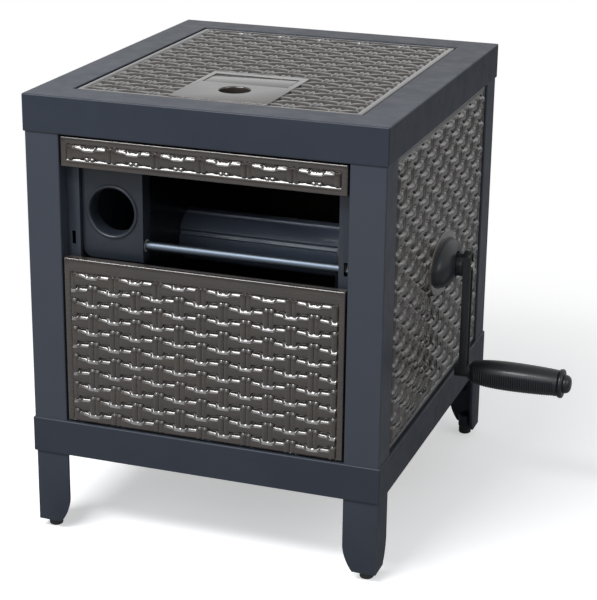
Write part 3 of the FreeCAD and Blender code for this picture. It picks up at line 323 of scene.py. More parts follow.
PANEL_SHADE, ROUND_SHADE = 55.0, 40.0   # degrees from which shading breaks
ROUND_SEGMENTS = 96


def arch(distance, reach, power):
    """From 1 in the middle to 0 at the reach; a higher power makes a flatter top."""
    return np.clip(1 - (np.abs(distance) / reach) ** power, 0, None) ** (1 / power)


def strand_drop(distance, half):
    """How far a strand falls away from its crest: a low crown, a sloping shoulder and a rolled edge."""
    start = half - SHOULDER
    crown = CROWN_FALL * np.clip(distance / start, 0, 1) ** 3
    past = np.clip(distance - start, 0, None)
    shoulder = SHOULDER_SLOPE * past + SHOULDER_BEND * past ** 2
    edge = EDGE_DROP * np.clip((distance - half + EDGE_WIDTH) / EDGE_WIDTH, 0, 1) ** 2
    return crown + shoulder + edge


def weave_height(u, v, row):
    """Height of the weave in millimetres over the panel's face, the fibre coordinates and where canes show.

    u is measured from the panel's middle and v from the middle of its top row; both are arrays.
    """
    column = np.rint(u / BAR_STEP)
    line = np.rint(v / row)
    best = np.full(u.shape, FLOOR)
    along = np.array(u)
    across = np.array(v)
    for step in (-1, 0, 1):
        near_line = line + step
        off = (column + near_line) % 2
        for side in (-1, 0, 1):
            near = column + side
            over = (near + near_line) % 2 == 1
            du = u - near * BAR_STEP
            dv = v - near_line * row
            widen = np.clip((np.abs(du) - WAIST_FROM) / (WAIST_TO - WAIST_FROM), 0, 1)
            half = STRAND_WAIST + (STRAND_HALF - STRAND_WAIST) * widen * widen * (3 - 2 * widen)
            half = half * row / NORMAL_ROW
            crest = STRAND_FROM + STRAND_RISE * arch(du, STRAND_REACH, STRAND_POWER)
            strand = crest - strand_drop(np.abs(dv), half)
            inside = over & (np.abs(du) < STRAND_REACH) & (np.abs(dv) < half)
            strand = np.where(inside, strand, OUT_OF_SIGHT)
            offset = np.abs(np.abs(du) - CANE_R)
            cane = arch(offset, CANE_HALF, ROUND_POWER)
            reach = CANE_REACH_PER_ROW * row
            cane_top = CANE_FROM + CANE_RISE * arch(dv, reach, CANE_POWER) - CANE_SIDE_FALL * (1 - cane)
            inside = (~over) & (np.abs(dv) < reach) & (np.abs(du) < CANE_PAIR_HALF)
            cane_top = np.where(inside, cane_top, OUT_OF_SIGHT)
            take = strand > best
            best = np.where(take, strand, best)
            take = cane_top > best
            best = np.where(take, cane_top, best)
            along = np.where(take, v, along)
            across = np.where(take, u, across)
    is_cane = along == v
    return best, along, across, is_cane


def marks(period_marks, step, start, low, high):
    """The marks repeated every step and kept between low and high."""
    first = int(math.floor((low - start) / step)) - 1
    last = int(math.ceil((high - start) / step)) + 1
    values = [start + k * step + m for k in range(first, last + 1) for m in period_marks]
    return [x for x in values if low < x < high]


# Grid lines of the weave's mesh: across a pair of canes, between two pairs, and across a row.
CANE_MARKS_FINE = (-8.1, -7.3, -5.8, -4.0, -2.2, -0.8, 0.0, 0.8, 2.2, 4.0, 5.8, 7.3, 8.1)
FREE_MARKS_FINE = (8.9, 10.0, 11.5, 13.4, 15.45, 17.5, 19.4, 20.9, 22.0)
CANE_MARKS = (-8.1, -7.2, -4.6, -2.0, 0.0, 2.0, 4.6, 7.2, 8.1)
FREE_MARKS = (10.5, 15.45, 20.4)
HALF_ROW_FINE = (2.2, 3.2, 4.2, 5.0, 5.7, 6.6, 7.6, 8.7, 9.5)
HALF_ROW = (2.3, 5.0, 6.1, 8.7, 9.5)
RIM_MARKS = (0.0, 0.25, 0.7, EDGE_R)
LIP_MARKS = (-LIP - 0.3, -LIP + 0.3, -0.3, 0.0, 0.9)
MARK_GAP = 0.28           # closer marks become one
FIELD_MARGIN = 1.2        # no weave mark closer than this to the border
WEAVE_INSET = 0.4         # the weave ends this far inside the border


def edge_marks(low, high):
    """Grid lines round a panel's two rounded edges."""
    return [low + r for r in RIM_MARKS] + [high - r for r in RIM_MARKS]


def tidy_marks(values):
    """Sorted marks with near-doubles removed."""
    kept = []
    for x in sorted(values):
        if not kept or x - kept[-1] > MARK_GAP:
            kept.append(x)
        elif x == max(values):
            kept[-1] = x
    return np.array(kept)


def panel_mesh(name, place, width, height, borders, row, first_row, fine=False, lift=0.0, relief=1.0,
               skin=3.0):
    """A closed panel with a plain border, a recessed weave and turned-in edges.

    borders are the widths at the left, right, bottom and top; first_row is the middle of the top row
    measured from the panel's centre; place turns arrays (u, v, n) in millimetres into a point list. lift
    raises the weave, relief deepens it, and skin is the wall behind its floor.
    """
    half_u, half_v = width / 2, height / 2
    left, right, bottom, top = borders
    field = (-half_u + left, half_u - right, -half_v + bottom, half_v - top)
    columns = (CANE_MARKS_FINE + FREE_MARKS_FINE) if fine else (CANE_MARKS + FREE_MARKS)
    half_row = HALF_ROW_FINE if fine else HALF_ROW
    rows = [-m for m in reversed(half_row)] + [0.0] + list(half_row)
    rows = [m * row / NORMAL_ROW for m in rows]
    us = marks(columns, BAR_STEP, 0.0, field[0] + FIELD_MARGIN, field[1] - FIELD_MARGIN)
    vs = marks(rows, row, first_row, field[2] + FIELD_MARGIN, field[3] - FIELD_MARGIN)
    us += edge_marks(-half_u, half_u) + [field[0] + x for x in LIP_MARKS] + [field[1] - x for x in LIP_MARKS]
    vs += edge_marks(-half_v, half_v) + [field[2] + x for x in LIP_MARKS] + [field[3] - x for x in LIP_MARKS]
    us, vs = tidy_marks(us), tidy_marks(vs)
    u, v = np.meshgrid(us, vs)
    woven, along, across, is_cane = weave_height(u, v - first_row, row)
    woven = CREST + (woven - CREST) * relief + lift
    inside = (u > field[0] + WEAVE_INSET) & (u < field[1] - WEAVE_INSET)
    inside = inside & (v > field[2] + WEAVE_INSET) & (v < field[3] - WEAVE_INSET)
    rim = np.minimum(half_u - np.abs(u), half_v - np.abs(v))
    rounding = EDGE_R - np.sqrt(np.clip(EDGE_R ** 2 - np.clip(EDGE_R - rim, 0, EDGE_R) ** 2, 0, None))
    past = np.maximum(np.maximum(field[0] - u, u - field[1]), np.maximum(field[2] - v, v - field[3]))
    inner = LIP_SLOPE * np.clip(LIP - past, 0, None)
    n = np.where(inside, woven, -np.maximum(rounding, inner))
    along = np.where(inside, along, u)
    across = np.where(inside, across, v)
    kind = np.where(inside, np.where(is_cane, CANE, STRAND), PLAIN)
    count_v, count_u = u.shape
    points = [place(u.ravel(), v.ravel(), n.ravel())]
    weave = [np.stack([along.ravel(), across.ravel(), kind.ravel()], 1)]
    index = np.arange(count_v * count_u).reshape(count_v, count_u)
    quads = np.stack([index[:-1, :-1], index[:-1, 1:], index[1:, 1:], index[1:, :-1]], -1).reshape(-1, 4)
    faces = [tuple(int(i) for i in q) for q in quads]
    loop = list(index[0, :-1]) + list(index[:-1, -1]) + list(index[-1, :0:-1]) + list(index[:0:-1, 0])
    loop = [int(i) for i in loop]
    flat_u, flat_v = u.ravel()[loop], v.ravel()[loop]
    inner_u = np.clip(flat_u, -half_u + RETURN_WALL, half_u - RETURN_WALL)
    inner_v = np.clip(flat_v, -half_v + RETURN_WALL, half_v - RETURN_WALL)
    total = count_v * count_u
    previous = loop
    back = -skin + FLOOR * relief + lift
    rings = ((flat_u, flat_v, -RETURN_DEPTH), (inner_u, inner_v, -RETURN_DEPTH), (inner_u, inner_v, back))
    for ring_u, ring_v, depth in rings:
        ring = list(range(total, total + len(loop)))
        points.append(place(ring_u, ring_v, np.full(len(loop), depth)))
        weave.append(np.stack([ring_u, ring_v, np.full(len(loop), PLAIN)], 1))
        for a in range(len(loop)):
            b = (a + 1) % len(loop)
            faces.append((previous[b], previous[a], ring[a], ring[b]))
        previous = ring
        total += len(loop)
    faces.append(tuple(reversed(previous)))
    mesh = bpy.data.meshes.new(name)
    mesh.from_pydata((np.concatenate(points) * MM).tolist(), [], faces)
    data = mesh.attributes.new("weave", "FLOAT_VECTOR", "POINT")
    data.data.foreach_set("vector", np.concatenate(weave).astype(np.float32).ravel())
    work = bmesh.new()
    work.from_mesh(mesh)
    bmesh.ops.remove_doubles(work, verts=work.verts, dist=MERGE)
    work.to_mesh(mesh)
    work.free()
    shade(mesh, PANEL_SHADE)
    return mesh


def facing(kind, face, middle):
    """A placer for a panel that faces front, back, left, right or up, with its face there."""
    def put(u, v, n):
        if kind == "front":
            return np.stack([u, face - n, v + middle], 1)
        if kind == "back":
            return np.stack([-u, face + n, v + middle], 1)
        if kind == "right":
            return np.stack([face + n, u, v + middle], 1)
        if kind == "left":
            return np.stack([face - n, -u, v + middle], 1)
        return np.stack([u, v + middle, face + n], 1)
    return put


def woven(node, kind, face, borders, row, first_row_from_top, fine=False, lift=0.0, relief=1.0, skin=3.0,
          material=None):
    """A woven panel in place of a CAD node, with its face at the given coordinate."""
    low, high = (Vector(p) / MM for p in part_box(node))
    body, slot = node_facts(node)
    size = high - low
    width = size.y if kind in ("left", "right") else size.x
    height = size.y if kind == "up" else size.z
    middle = (low.y + high.y) / 2 if kind == "up" else (low.z + high.z) / 2
    mesh = panel_mesh(node + "_woven", facing(kind, face, middle), width, height, borders, row,
                      height / 2 - first_row_from_top, fine, lift, relief, skin)
    obj = add_object(node + "_woven", mesh, body, slot, material)
    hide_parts(node)
    return obj


def mm_box(node):
    """The node's two corners in millimetres."""
    return [[c / MM for c in p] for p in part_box(node)]


BORDER = 9.0
PLAIN_BORDERS = (BORDER, BORDER, BORDER, BORDER)
SIDE_FACE = 243.0
SIDE_ROW = 18.85
SIDE_RELIEF = 1.35
PLAIN_ROWS = (PLAIN_BORDERS, SIDE_ROW, BORDER + SIDE_ROW / 2)
FRONT_FACE = mm_box("front_lower_panel")[0][1]
BACK_FACE = mm_box("back_panel")[1][1]
LID_FACE = mm_box("lid")[1][2]
LID_ROW = 19.8
woven("front_lower_panel", "front", FRONT_FACE, (BORDER, BORDER, 1.8, 19.0), NORMAL_ROW, 29.0, fine=True)
woven("front_strip_panel", "front", FRONT_FACE, (BORDER, BORDER, 10.5, 9.5), NORMAL_ROW, 19.4, fine=True)
right_panel = woven("right_panel", "right", SIDE_FACE, *PLAIN_ROWS, relief=SIDE_RELIEF)
left_panel = woven("left_panel", "left", -SIDE_FACE, *PLAIN_ROWS, relief=SIDE_RELIEF)
woven("back_panel", "back", BACK_FACE, *PLAIN_ROWS)
lid_panel = woven("lid", "up", LID_FACE, PLAIN_BORDERS, LID_ROW, BORDER + LID_ROW / 2, lift=-1.4, relief=1.5,
                  skin=1.4, material=LID_SHADED_WEAVE)


# ------------------------------------------------------------------ turned and oval pieces

def ring_mesh(name, rings, closed):
    """A skin over rings of points, each ring an array of the same number of points in millimetres."""
    count = len(rings[0])
    faces = []
    for k in range(len(rings) if closed else len(rings) - 1):
        here, there = k * count, (k + 1) % len(rings) * count
        for a in range(count):
            b = (a + 1) % count
            faces.append((here + a, here + b, there + b, there + a))
    mesh = bpy.data.meshes.new(name)
    mesh.from_pydata((np.concatenate(rings) * MM).tolist(), [], faces)
    work = bmesh.new()
    work.from_mesh(mesh)
    bmesh.ops.remove_doubles(work, verts=work.verts, dist=FINE_MERGE)
    bmesh.ops.recalc_face_normals(work, faces=work.faces)
    work.to_mesh(mesh)
    work.free()
    shade(mesh, ROUND_SHADE)
    return mesh


def around(origin, first, second, along, profile, segments=72):
    """Rings for a turned piece; its profile's distances and radii are numbers or arrays by angle."""
    turn = np.linspace(0, 2 * math.pi, segments, endpoint=False)
    origin, first, second, along = (np.array(v, float) for v in (origin, first, second, along))
    rings = []
    for distance, radius in profile:
        r = np.broadcast_to(radius, turn.shape)
        d = np.broadcast_to(distance, turn.shape)
        turned = np.outer(r * np.cos(turn), first) + np.outer(r * np.sin(turn), second)
        rings.append(origin + turned + np.outer(d, along))
    return rings


def oval(half_y, half_z):
    """An ellipse's radius by angle."""
    turn = np.linspace(0, 2 * math.pi, ROUND_SEGMENTS, endpoint=False)
    return 1 / np.sqrt((np.cos(turn) / half_y) ** 2 + (np.sin(turn) / half_z) ** 2)


REEL_Y, REEL_Z = 14.0, 357.0
X_AXES = ((0, 1, 0), (0, 0, 1), (1, 0, 0))        # two directions across the axis and the axis
Y_AXES = ((0, 0, 1), (1, 0, 0), (0, 1, 0))
Z_AXES = ((1, 0, 0), (0, 1, 0), (0, 0, 1))
COVER_HALF_Y, COVER_HALF_Z, COVER_HEIGHT = 61.0, 33.5, 22.0
RIM_WIDTH, RIM_TOP = 1.5, 2.2
DOME_STEPS = 18
PAD_MARGIN = 10.0
PAD_TOP = 2.5
PAD_EDGE = ((1.2, 0.0), (0.5, 0.25), (0.1, 0.9), (0.0, 1.6))     # down from the top, in from the outline
AXLE_HOLE_R = 19.0


def oval_cover(node, side, hole_r):
    """The oval dome on a side panel, with a thin foot rim and a rounded hole."""
    size = oval(COVER_HALF_Y - RIM_WIDTH, COVER_HALF_Z - RIM_WIDTH)
    foot = SIDE_FACE + PAD_TOP
    rim = size + RIM_WIDTH
    profile = [(0.0, hole_r), (0.0, rim), (1.2, rim), (1.9, size + 1.2), (RIM_TOP, size + 0.4)]
    last = np.arccos(hole_r / size)
    for k in range(DOME_STEPS + 1):
        lift = last * (k / DOME_STEPS) ** 0.9
        profile.append((RIM_TOP + (COVER_HEIGHT - RIM_TOP) * np.sin(lift), (size - 0.2) * np.cos(lift) + 0.2))
    profile.append((profile[-1][0] - 1.0, hole_r - 0.4))
    outward = ((0, 1, 0), (0, 0, 1), (side, 0, 0))
    rings = around((side * foot, REEL_Y, REEL_Z), *outward, profile, ROUND_SEGMENTS)
    body, slot = node_facts(node)
    obj = add_object(node + "_look", ring_mesh(node + "_look", rings, True), body, slot)
    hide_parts(node)


def oval_pad(name, side):
    """The plain oval ground that interrupts the weave round the shaft or the inlet."""
    size = oval(COVER_HALF_Y + PAD_MARGIN, COVER_HALF_Z + PAD_MARGIN)
    profile = [(FLOOR, AXLE_HOLE_R), (FLOOR, size)]
    profile += [(PAD_TOP - down, size - inward) for down, inward in PAD_EDGE]
    profile.append((PAD_TOP, AXLE_HOLE_R))
    outward = ((0, 1, 0), (0, 0, 1), (side, 0, 0))
    rings = around((side * SIDE_FACE, REEL_Y, REEL_Z), *outward, profile, ROUND_SEGMENTS)
    mesh = ring_mesh(name, rings, True)
    plain_weave(mesh)
    add_object(name, mesh, "cabinet", "panel", PAD_SHEEN_FINISH)


def plain_weave(mesh):
    """Fibre coordinates for a plain piece of a woven panel."""
    points = np.empty(len(mesh.vertices) * 3, np.float32)
    mesh.vertices.foreach_get("co", points)
    points = points.reshape(-1, 3) / MM
    data = mesh.attributes.new("weave", "FLOAT_VECTOR", "POINT")
    plain = np.full(len(points), PLAIN)
    local = np.stack([points[:, 0] + points[:, 1], points[:, 2] + 0.4 * points[:, 1], plain], 1)
    data.data.foreach_set("vector", local.astype(np.float32).ravel())


oval_pad("crank_pad", 1)
oval_pad("inlet_pad", -1)
oval_cover("crank_cover", 1, 18.0)
oval_cover("inlet_cover", -1, 14.5)

EYE_X, EYE_Z = -136.0, 461.0
EYE_SEAT_R = 34.0
GUIDE_FRONT, GUIDE_BACK = -250.0, -226.0
# The lip's rounded section as (depth behind the block's face, radius)
EYE_LIP = [(-0.2, 36.4), (-1.5, 36.2), (-2.2, 35.4), (-2.4, 34.4), (-2.1, 33.4), (-1.2, 32.4), (0.6, 31.5),
           (3.0, 31.05)]


def guide_eye():
    """The liner of the guide's eye, with a rounded lip at the front and the back."""
    profile = [(GUIDE_FRONT + d, r) for d, r in EYE_LIP] + [(GUIDE_BACK - d, r) for d, r in reversed(EYE_LIP)]
    profile += [(GUIDE_BACK, EYE_SEAT_R), (GUIDE_FRONT, EYE_SEAT_R)]
    rings = around((EYE_X, 0, EYE_Z), (1, 0, 0), (0, 0, 1), (0, 1, 0), profile, ROUND_SEGMENTS)
    mesh = ring_mesh("guide_eye_look", rings, True)
    obj = add_object("guide_eye_look", mesh, "guide", "black_plastic", GUIDE_FINISH)
    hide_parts("guide_eye_ring")


guide_eye()

GRIP_KNOTS = (0.0, 0.05, 0.2, 0.42, 0.7, 0.94)          # places along the grip
GRIP_RADII = (15.5, 17.5, 19.6, 21.0, 20.2, 18.4)       # and its radius at each
GRIP_BORE_R, GRIP_WIDEST = 5.1, 21.0
GRIP_START = ((0.0, 13.9), (0.5, 14.8), (1.4, 15.3))
GRIP_END = ((8.0, 18.3), (7.0, 18.8), (6.4, 19.5), (5.4, 20.2), (4.0, 20.45), (2.4, 20.4), (1.0, 19.9),
            (0.25, 19.0), (0.0, 18.0))
RIB_PITCH, RIB_DEPTH, RIB_POWER = 3.2, 0.75, 0.7
STEPS_PER_RIB = 6
RIBS_AFTER, RIBS_BEFORE = 7.0, 13.0                     # the ribs' ends, from the grip's two ends
BARREL_AFTER, BARREL_BEFORE = 2.2, 8.5
RIB_TURN, RIB_FADE = 1.15, 0.25                         # half the smooth stretch, and where ribs fade in


def grip():
    """The turning grip: a barrel with fine ribs, smooth round its top, and a stop flange."""
    low, high = mm_box("crank_grip")
    start, end = low[0], high[0]
    axis_y, axis_z = (low[1] + high[1]) / 2, (low[2] + high[2]) / 2
    ribs_from, ribs_to = start + RIBS_AFTER, end - RIBS_BEFORE
    bend = np.polyfit(np.array(GRIP_KNOTS), np.array(GRIP_RADII), 4)
    turn = np.linspace(0, 2 * math.pi, ROUND_SEGMENTS, endpoint=False)
    from_top = np.abs(((turn - math.pi / 2 + math.pi) % (2 * math.pi)) - math.pi)
    ribbed = np.clip((RIB_TURN - from_top) / -RIB_FADE, 0, 1)
    profile = [(start, GRIP_BORE_R)] + [(start + x, radius) for x, radius in GRIP_START]
    x = start + BARREL_AFTER
    while x < end - BARREL_BEFORE:
        base = min(float(np.polyval(bend, (x - start) / (end - start))), GRIP_WIDEST) - 0.1
        wave = 0.0
        if ribs_from < x < ribs_to:
            wave = 0.5 - 0.5 * math.cos(2 * math.pi * (x - ribs_from) / RIB_PITCH)
        profile.append((x, base - RIB_DEPTH * wave ** RIB_POWER * ribbed))
        x += RIB_PITCH / STEPS_PER_RIB
    profile += [(end - x, radius) for x, radius in GRIP_END] + [(end, GRIP_BORE_R)]
    rings = around((0, axis_y, axis_z), *X_AXES, profile, ROUND_SEGMENTS)
    obj = add_object("crank_grip_look", ring_mesh("crank_grip_look", rings, True), "grip", "black_plastic")
    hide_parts("crank_grip")


grip()


DRUM_R, DRUM_BORE = 38.0, 32.6
SLATS, SLAT_SEGMENTS = 7, 36
FIRST_GROOVE = 161.5      # degrees from the back, upwards
GROOVE_DEPTH, GROOVE_FLOOR_HALF, GROOVE_TOP_HALF = 3.9, 2.6, 4.4
OUTLET_X, OUTLET_HOLE_R = -96.0, 14.1
OUTLET_CUT = 50.0         # the length of the outlet's cutter


def drum():
    """The slatted drum: rounded grooves part its seven slats, and the outlet has a hole."""
    low, high = mm_box("reel_drum")
    segments = SLATS * SLAT_SEGMENTS
    turn = np.degrees(np.linspace(0, 2 * math.pi, segments, endpoint=False))
    pitch = 360.0 / SLATS
    off = (turn - FIRST_GROOVE + pitch / 2) % pitch - pitch / 2
    arc = np.abs(np.radians(off)) * DRUM_R
    t = np.clip((arc - GROOVE_FLOOR_HALF) / (GROOVE_TOP_HALF - GROOVE_FLOOR_HALF), 0, 1)
    radius = DRUM_R - GROOVE_DEPTH * (1 - t * t * (3 - 2 * t))
    profile = [(low[0], DRUM_BORE), (low[0], radius), (high[0], radius), (high[0], DRUM_BORE)]
    rings = around((0, REEL_Y, REEL_Z), *X_AXES, profile, segments)
    mesh = ring_mesh("reel_drum_look", rings, True)
    obj = add_object("reel_drum_look", mesh, "reel", "black_plastic", DRUM_LIT_FINISH)
    carve(obj, [rod_mesh("cut_outlet", (OUTLET_X, REEL_Y, REEL_Z), *Y_AXES, OUTLET_HOLE_R, OUTLET_CUT)])
    shade(obj.data, ROUND_SHADE)
    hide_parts("reel_drum")


# ------------------------------------------------------------------ lid details

def block_mesh(name, low, high, rounding):
    """A block with rounded edges between two corners in millimetres."""
    work = bmesh.new()
    bmesh.ops.create_cube(work, size=1.0)
    size = [b - a for a, b in zip(low, high)]
    middle = [(a + b) / 2 for a, b in zip(low, high)]
    for vertex in work.verts:
        vertex.co = Vector([(m + c * s) * MM for m, c, s in zip(middle, vertex.co, size)])
    if rounding:
        bmesh.ops.bevel(work, geom=work.edges[:], offset=rounding * MM, offset_type="OFFSET", segments=3,
                        profile=0.5, affect="EDGES", clamp_overlap=True)
    mesh = bpy.data.meshes.new(name)
    work.to_mesh(mesh)
    work.free()
    return mesh


def carve(obj, cutter_meshes):
    """Cuts the shapes out of the piece's mesh."""
    cutters = []
    for mesh in cutter_meshes:
        cutter = bpy.data.objects.new("cutter", mesh)
        bpy.context.scene.collection.objects.link(cutter)
        change = obj.modifiers.new("cut", "BOOLEAN")
        change.operation = "DIFFERENCE"
        change.solver = "EXACT"
        change.object = cutter
        cutters.append(cutter)
    bpy.context.view_layer.update()
    evaluated = obj.evaluated_get(bpy.context.evaluated_depsgraph_get())
    mesh = bpy.data.meshes.new_from_object(evaluated)
    obj.modifiers.clear()
    obj.data = mesh
    for cutter in cutters:
        bpy.data.objects.remove(cutter)


HOLE_Y = -157.0
HOLE_R = 21.0
HOLE_CUT_LENGTH = 60.0
HOLE_CUT = (0, HOLE_Y, LID_FACE - HOLE_CUT_LENGTH / 2)
# The plate, the badge's recess in it and the badge: half the width, and front to back
PLATE_HALF, PLATE_Y = 68.5, (-218.5, -56.0)
PLATE_TOP = LID_FACE + 0.9
BADGE_SEAT_HALF, BADGE_SEAT_Y = 60.0, (-121.5, -71.0)
BADGE_HALF, BADGE_Y = 58.4, (-119.9, -72.6)
RING_BOTTOM = -12.0


def rod_mesh(name, origin, first, second, along, radius, length):
    """A round rod from the origin."""
    ends = around(origin, first, second, along, [(0.0, radius), (length, radius)], 72)
    count = len(ends[0])
    mesh = bpy.data.meshes.new(name)
    faces = [(a, (a + 1) % count, count + (a + 1) % count, count + a) for a in range(count)]
    faces += [tuple(reversed(range(count))), tuple(range(count, 2 * count))]
    mesh.from_pydata((np.concatenate(ends) * MM).tolist(), [], faces)
    return mesh


AXLE_CUT = 600.0          # long enough for both side panels
for side_panel in (right_panel, left_panel):
    start = (-AXLE_CUT / 2, REEL_Y, REEL_Z)
    carve(side_panel, [rod_mesh("cut_axle", start, *X_AXES, AXLE_HOLE_R, AXLE_CUT)])
    shade(side_panel.data, PANEL_SHADE)

carve(lid_panel, [rod_mesh("cut_hole", HOLE_CUT, *Z_AXES, HOLE_R + 1.6, HOLE_CUT_LENGTH)])
shade(lid_panel.data, PANEL_SHADE)


def lid_plate():
    """The plain place at the lid's front, with the finger hole and the badge's recess cut out."""
    low, high = (-PLATE_HALF, PLATE_Y[0], LID_FACE - 6.0), (PLATE_HALF, PLATE_Y[1], PLATE_TOP)
    plate = add_object("lid_plate", block_mesh("lid_plate", low, high, 0.8), "lid", "panel")
    seat_low = (-BADGE_SEAT_HALF, BADGE_SEAT_Y[0], LID_FACE - 0.2)
    seat_high = (BADGE_SEAT_HALF, BADGE_SEAT_Y[1], LID_FACE + 9.0)
    carve(plate, [
        rod_mesh("cut_plate", HOLE_CUT, *Z_AXES, HOLE_R + 1.2, HOLE_CUT_LENGTH),
        block_mesh("cut_badge", seat_low, seat_high, 0.0),
    ])
    plain_weave(plate.data)
    shade(plate.data)


def lid_badge():
    """The bare badge plate in its recess."""
    low, high = (-BADGE_HALF, BADGE_Y[0], LID_FACE - 3.0), (BADGE_HALF, BADGE_Y[1], LID_FACE + 0.5)
    badge = add_object("lid_badge_blank", block_mesh("lid_badge_blank", low, high, 0.5), "lid", "panel")
    plain_weave(badge.data)
    shade(badge.data)


def finger_ring():
    """The rounded rim of the finger hole, which reaches through the lid."""
    outer = HOLE_R + 2.6
    rim = ((-1.2, 0.0), (-0.2, 0.15), (0.6, 0.6), (0.95, 1.4), (0.9, 2.2))
    profile = [(RING_BOTTOM, outer), (RING_BOTTOM, HOLE_R)]
    profile += [(rise, HOLE_R + outward) for rise, outward in rim]
    profile.append((0.5, outer))
    ring = ring_mesh("finger_ring", around((0, HOLE_Y, LID_FACE), *Z_AXES, profile, 72), True)
    plain_weave(ring)
    add_object("finger_ring", ring, "lid", "panel")


lid_plate()
lid_badge()
finger_ring()

LID_SIDE, LID_SIDE_IN = 192.0, 0.5      # the rim's inner face, and how far ribs reach into it
RIB_Z = (LID_FACE - 11.2, LID_FACE - 6.6)
RIB_PLACES = (-60.0, 60.0, 160.0)
LID_RIB_HALF = 1.5
BOSS_LENGTH, BOSS_Y = 8.0, (204.0, 216.0)
BOSS_Z = (LID_FACE - 11.8, LID_FACE - 6.6)


def under_lid(name, x, y, z):
    """A rib or a boss under the lid."""
    mesh = block_mesh(name, (x[0], y[0], z[0]), (x[1], y[1], z[1]), 0.5)
    plain_weave(mesh)
    shade(mesh)
    add_object(name, mesh, "lid", "panel")


rib_x = (-LID_SIDE - LID_SIDE_IN, LID_SIDE + LID_SIDE_IN)
for number, rib_y in enumerate(RIB_PLACES):
    under_lid("lid_rib_%d" % number, rib_x, (rib_y - LID_RIB_HALF, rib_y + LID_RIB_HALF), RIB_Z)
for name, sign in (("left", -1), ("right", 1)):
    boss_x = sorted((sign * (LID_SIDE - BOSS_LENGTH), sign * (LID_SIDE + LID_SIDE_IN)))
    under_lid("lid_pivot_boss_" + name, boss_x, BOSS_Y, BOSS_Z)


# ------------------------------------------------------------------ the rest of the parts

for node in NODES:
    if not NODES[node].hide_render:
        slots = NODES[node].data.materials
        slots.clear()
        slots.append(MATERIALS[node_facts(node)[1]])

for corner in ("front_left", "front_right", "back_left", "back_right"):
    softened("foot_" + corner, 0.0016)
softened("foot_glides", 0.0008)
softened("hose_guide", 0.0028, 4, GUIDE_FINISH)
softened("crank_arm", 0.0010)
drum()
softened("reel_support_left", 0.0007)
softened("reel_support_right", 0.0007)


# ------------------------------------------------------------------ studio

FLOOR_ALBEDO, FLOOR_SHADOWED = 0.44, 1.55     # as the object sees it, and as the camera sees it
SHADOW_NEAR, SHADOW_FAR = 0.35, 1.30          # metres from the middle over which the glow takes over
GLOW_NEAR = 0.45
SKY_COLOUR, SKY_STRENGTH = (0.93, 0.96, 1.0, 1), 0.30
GLOSSY_SHARE = 0.55


def seen_directly(tree):
    """1 for camera and transmission rays and part of it for glossy ones, which see a paler studio too."""
    path = tree.nodes.new("ShaderNodeLightPath")
    part = tree.nodes.new("ShaderNodeMath")
    part.operation = "MULTIPLY"
    part.inputs[1].default_value = GLOSSY_SHARE
    tree.links.new(path.outputs["Is Glossy Ray"], part.inputs[0])
    total = part.outputs[0]
    for kind in ("Is Camera Ray", "Is Transmission Ray"):
        larger = tree.nodes.new("ShaderNodeMath")
        larger.operation = "MAXIMUM"
        tree.links.new(total, larger.inputs[0])
        tree.links.new(path.outputs[kind], larger.inputs[1])
        total = larger.outputs[0]
    return total


def floor_material():
    """A pale floor that photographs white and still keeps the object's shadow."""
    material = bpy.data.materials.new("studio_floor")
    material.use_nodes = True
    tree = material.node_tree
    tree.nodes.clear()
    plain = tree.nodes.new("ShaderNodeBsdfDiffuse")
    plain.inputs["Color"].default_value = (FLOOR_ALBEDO, FLOOR_ALBEDO, FLOOR_ALBEDO, 1)
    bright = tree.nodes.new("ShaderNodeBsdfDiffuse")
    bright.inputs["Color"].default_value = (FLOOR_SHADOWED, FLOOR_SHADOWED, FLOOR_SHADOWED, 1)
    glow = tree.nodes.new("ShaderNodeEmission")
    glow.inputs["Strength"].default_value = 1.0
    lit = tree.nodes.new("ShaderNodeMixShader")
    distance = tree.nodes.new("ShaderNodeVectorMath")
    distance.operation = "LENGTH"
    tree.links.new(object_coordinates(tree), distance.inputs[0])
    away = tree.nodes.new("ShaderNodeMapRange")
    away.interpolation_type = "SMOOTHSTEP"
    away.inputs["From Min"].default_value = SHADOW_NEAR
    away.inputs["From Max"].default_value = SHADOW_FAR
    away.inputs["To Min"].default_value = GLOW_NEAR
    away.inputs["To Max"].default_value = 1.0
    tree.links.new(distance.outputs["Value"], away.inputs["Value"])
    tree.links.new(away.outputs["Result"], lit.inputs["Fac"])
    choice = tree.nodes.new("ShaderNodeMixShader")
    output = tree.nodes.new("ShaderNodeOutputMaterial")
    path = tree.nodes.new("ShaderNodeLightPath")
    tree.links.new(path.outputs["Is Camera Ray"], choice.inputs["Fac"])
    tree.links.new(plain.outputs[0], choice.inputs[1])
    tree.links.new(bright.outputs[0], lit.inputs[1])
    tree.links.new(glow.outputs[0], lit.inputs[2])
    tree.links.new(lit.outputs[0], choice.inputs[2])
    tree.links.new(choice.outputs[0], output.inputs["Surface"])
    return material


FLOOR_HALF = 30.0
floor_mesh = bpy.data.meshes.new("studio_floor")
corners = [(sx * FLOOR_HALF, sy * FLOOR_HALF, 0) for sx, sy in ((-1, -1), (1, -1), (1, 1), (-1, 1))]
floor_mesh.from_pydata(corners, [], [(0, 1, 2, 3)])
floor = bpy.data.objects.new("studio_floor", floor_mesh)
bpy.context.scene.collection.objects.link(floor)
floor_mesh.materials.append(floor_material())

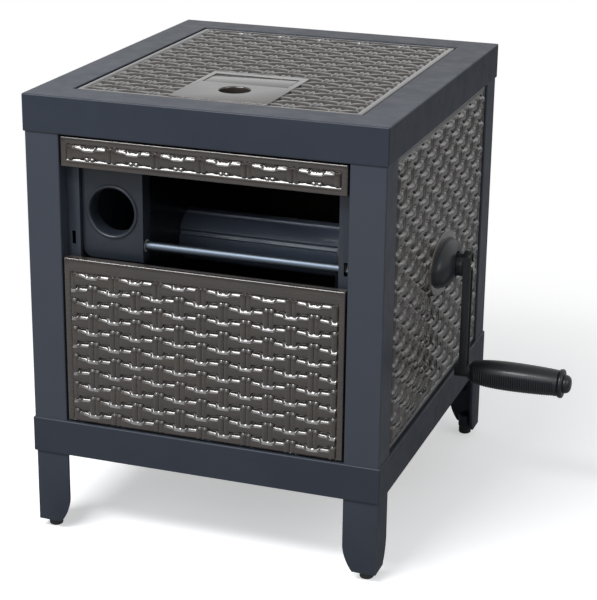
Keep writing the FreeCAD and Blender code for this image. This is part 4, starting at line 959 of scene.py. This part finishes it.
world = bpy.data.worlds.new("studio")
bpy.context.scene.world = world
world.use_nodes = True
world_tree = world.node_tree
world_tree.nodes.clear()
sky = world_tree.nodes.new("ShaderNodeBackground")
sky.inputs["Color"].default_value = SKY_COLOUR
sky.inputs["Strength"].default_value = SKY_STRENGTH
white = world_tree.nodes.new("ShaderNodeBackground")
white.inputs["Color"].default_value = (1, 1, 1, 1)
white.inputs["Strength"].default_value = 1.0
mix = world_tree.nodes.new("ShaderNodeMixShader")
world_out = world_tree.nodes.new("ShaderNodeOutputWorld")
world_tree.links.new(seen_directly(world_tree), mix.inputs["Fac"])
world_tree.links.new(sky.outputs["Background"], mix.inputs[1])
world_tree.links.new(white.outputs["Background"], mix.inputs[2])
world_tree.links.new(mix.outputs["Shader"], world_out.inputs["Surface"])


def soft_box(name, position, target, size_x, size_y, radiance, colour=(1.0, 1.0, 1.0)):
    """A rectangular studio light at the position, turned to the target."""
    lamp = bpy.data.lights.new(name, "AREA")
    lamp.color = colour
    lamp.shape = "RECTANGLE"
    lamp.size = size_x
    lamp.size_y = size_y
    lamp.energy = radiance * math.pi * size_x * size_y
    obj = bpy.data.objects.new(name, lamp)
    obj.location = position
    obj.rotation_mode = "QUATERNION"
    obj.rotation_quaternion = (Vector(target) - Vector(position)).to_track_quat("-Z", "Y")
    bpy.context.scene.collection.objects.link(obj)


soft_box("key_box", (-0.75, -1.7, 2.45), (0, -0.1, 0.4), 1.7, 0.5, 24.0)
soft_box("front_box", (-0.75, -3.0, 1.85), (0, 0, 0.4), 2.2, 1.7, 2.1, (0.84, 0.92, 1.0))
soft_box("side_box", (2.6, -0.9, 2.0), (0, 0, 0.3), 1.6, 1.5, 2.3)

# ------------------------------------------------------------------ camera

TARGET = Vector((0.03322, 0.01149, 0.27564))
AZIMUTH, ELEVATION, ROLL = (math.radians(a) for a in (19.127, 19.189, 0.738))
DISTANCE = 2.64096
LENS_MM, SENSOR_MM = 110.03, 36.0
level = math.cos(ELEVATION)
back_way = Vector((math.sin(AZIMUTH) * level, -math.cos(AZIMUTH) * level, math.sin(ELEVATION)))
level_right = Vector((0, 0, 1)).cross(back_way).normalized()
level_up = back_way.cross(level_right)
rightward = level_right * math.cos(ROLL) + level_up * math.sin(ROLL)
upward = level_up * math.cos(ROLL) - level_right * math.sin(ROLL)
camera_data = bpy.data.cameras.new("camera")
camera_data.lens = LENS_MM
camera_data.sensor_width = SENSOR_MM
camera_data.clip_end = 100.0
camera = bpy.data.objects.new("camera", camera_data)
bpy.context.scene.collection.objects.link(camera)
rotation = Matrix((rightward, upward, back_way)).transposed()
camera.matrix_world = Matrix.Translation(TARGET + back_way * DISTANCE) @ rotation.to_4x4()
bpy.context.scene.camera = camera
bpy.context.scene.view_settings.view_transform = "Standard"
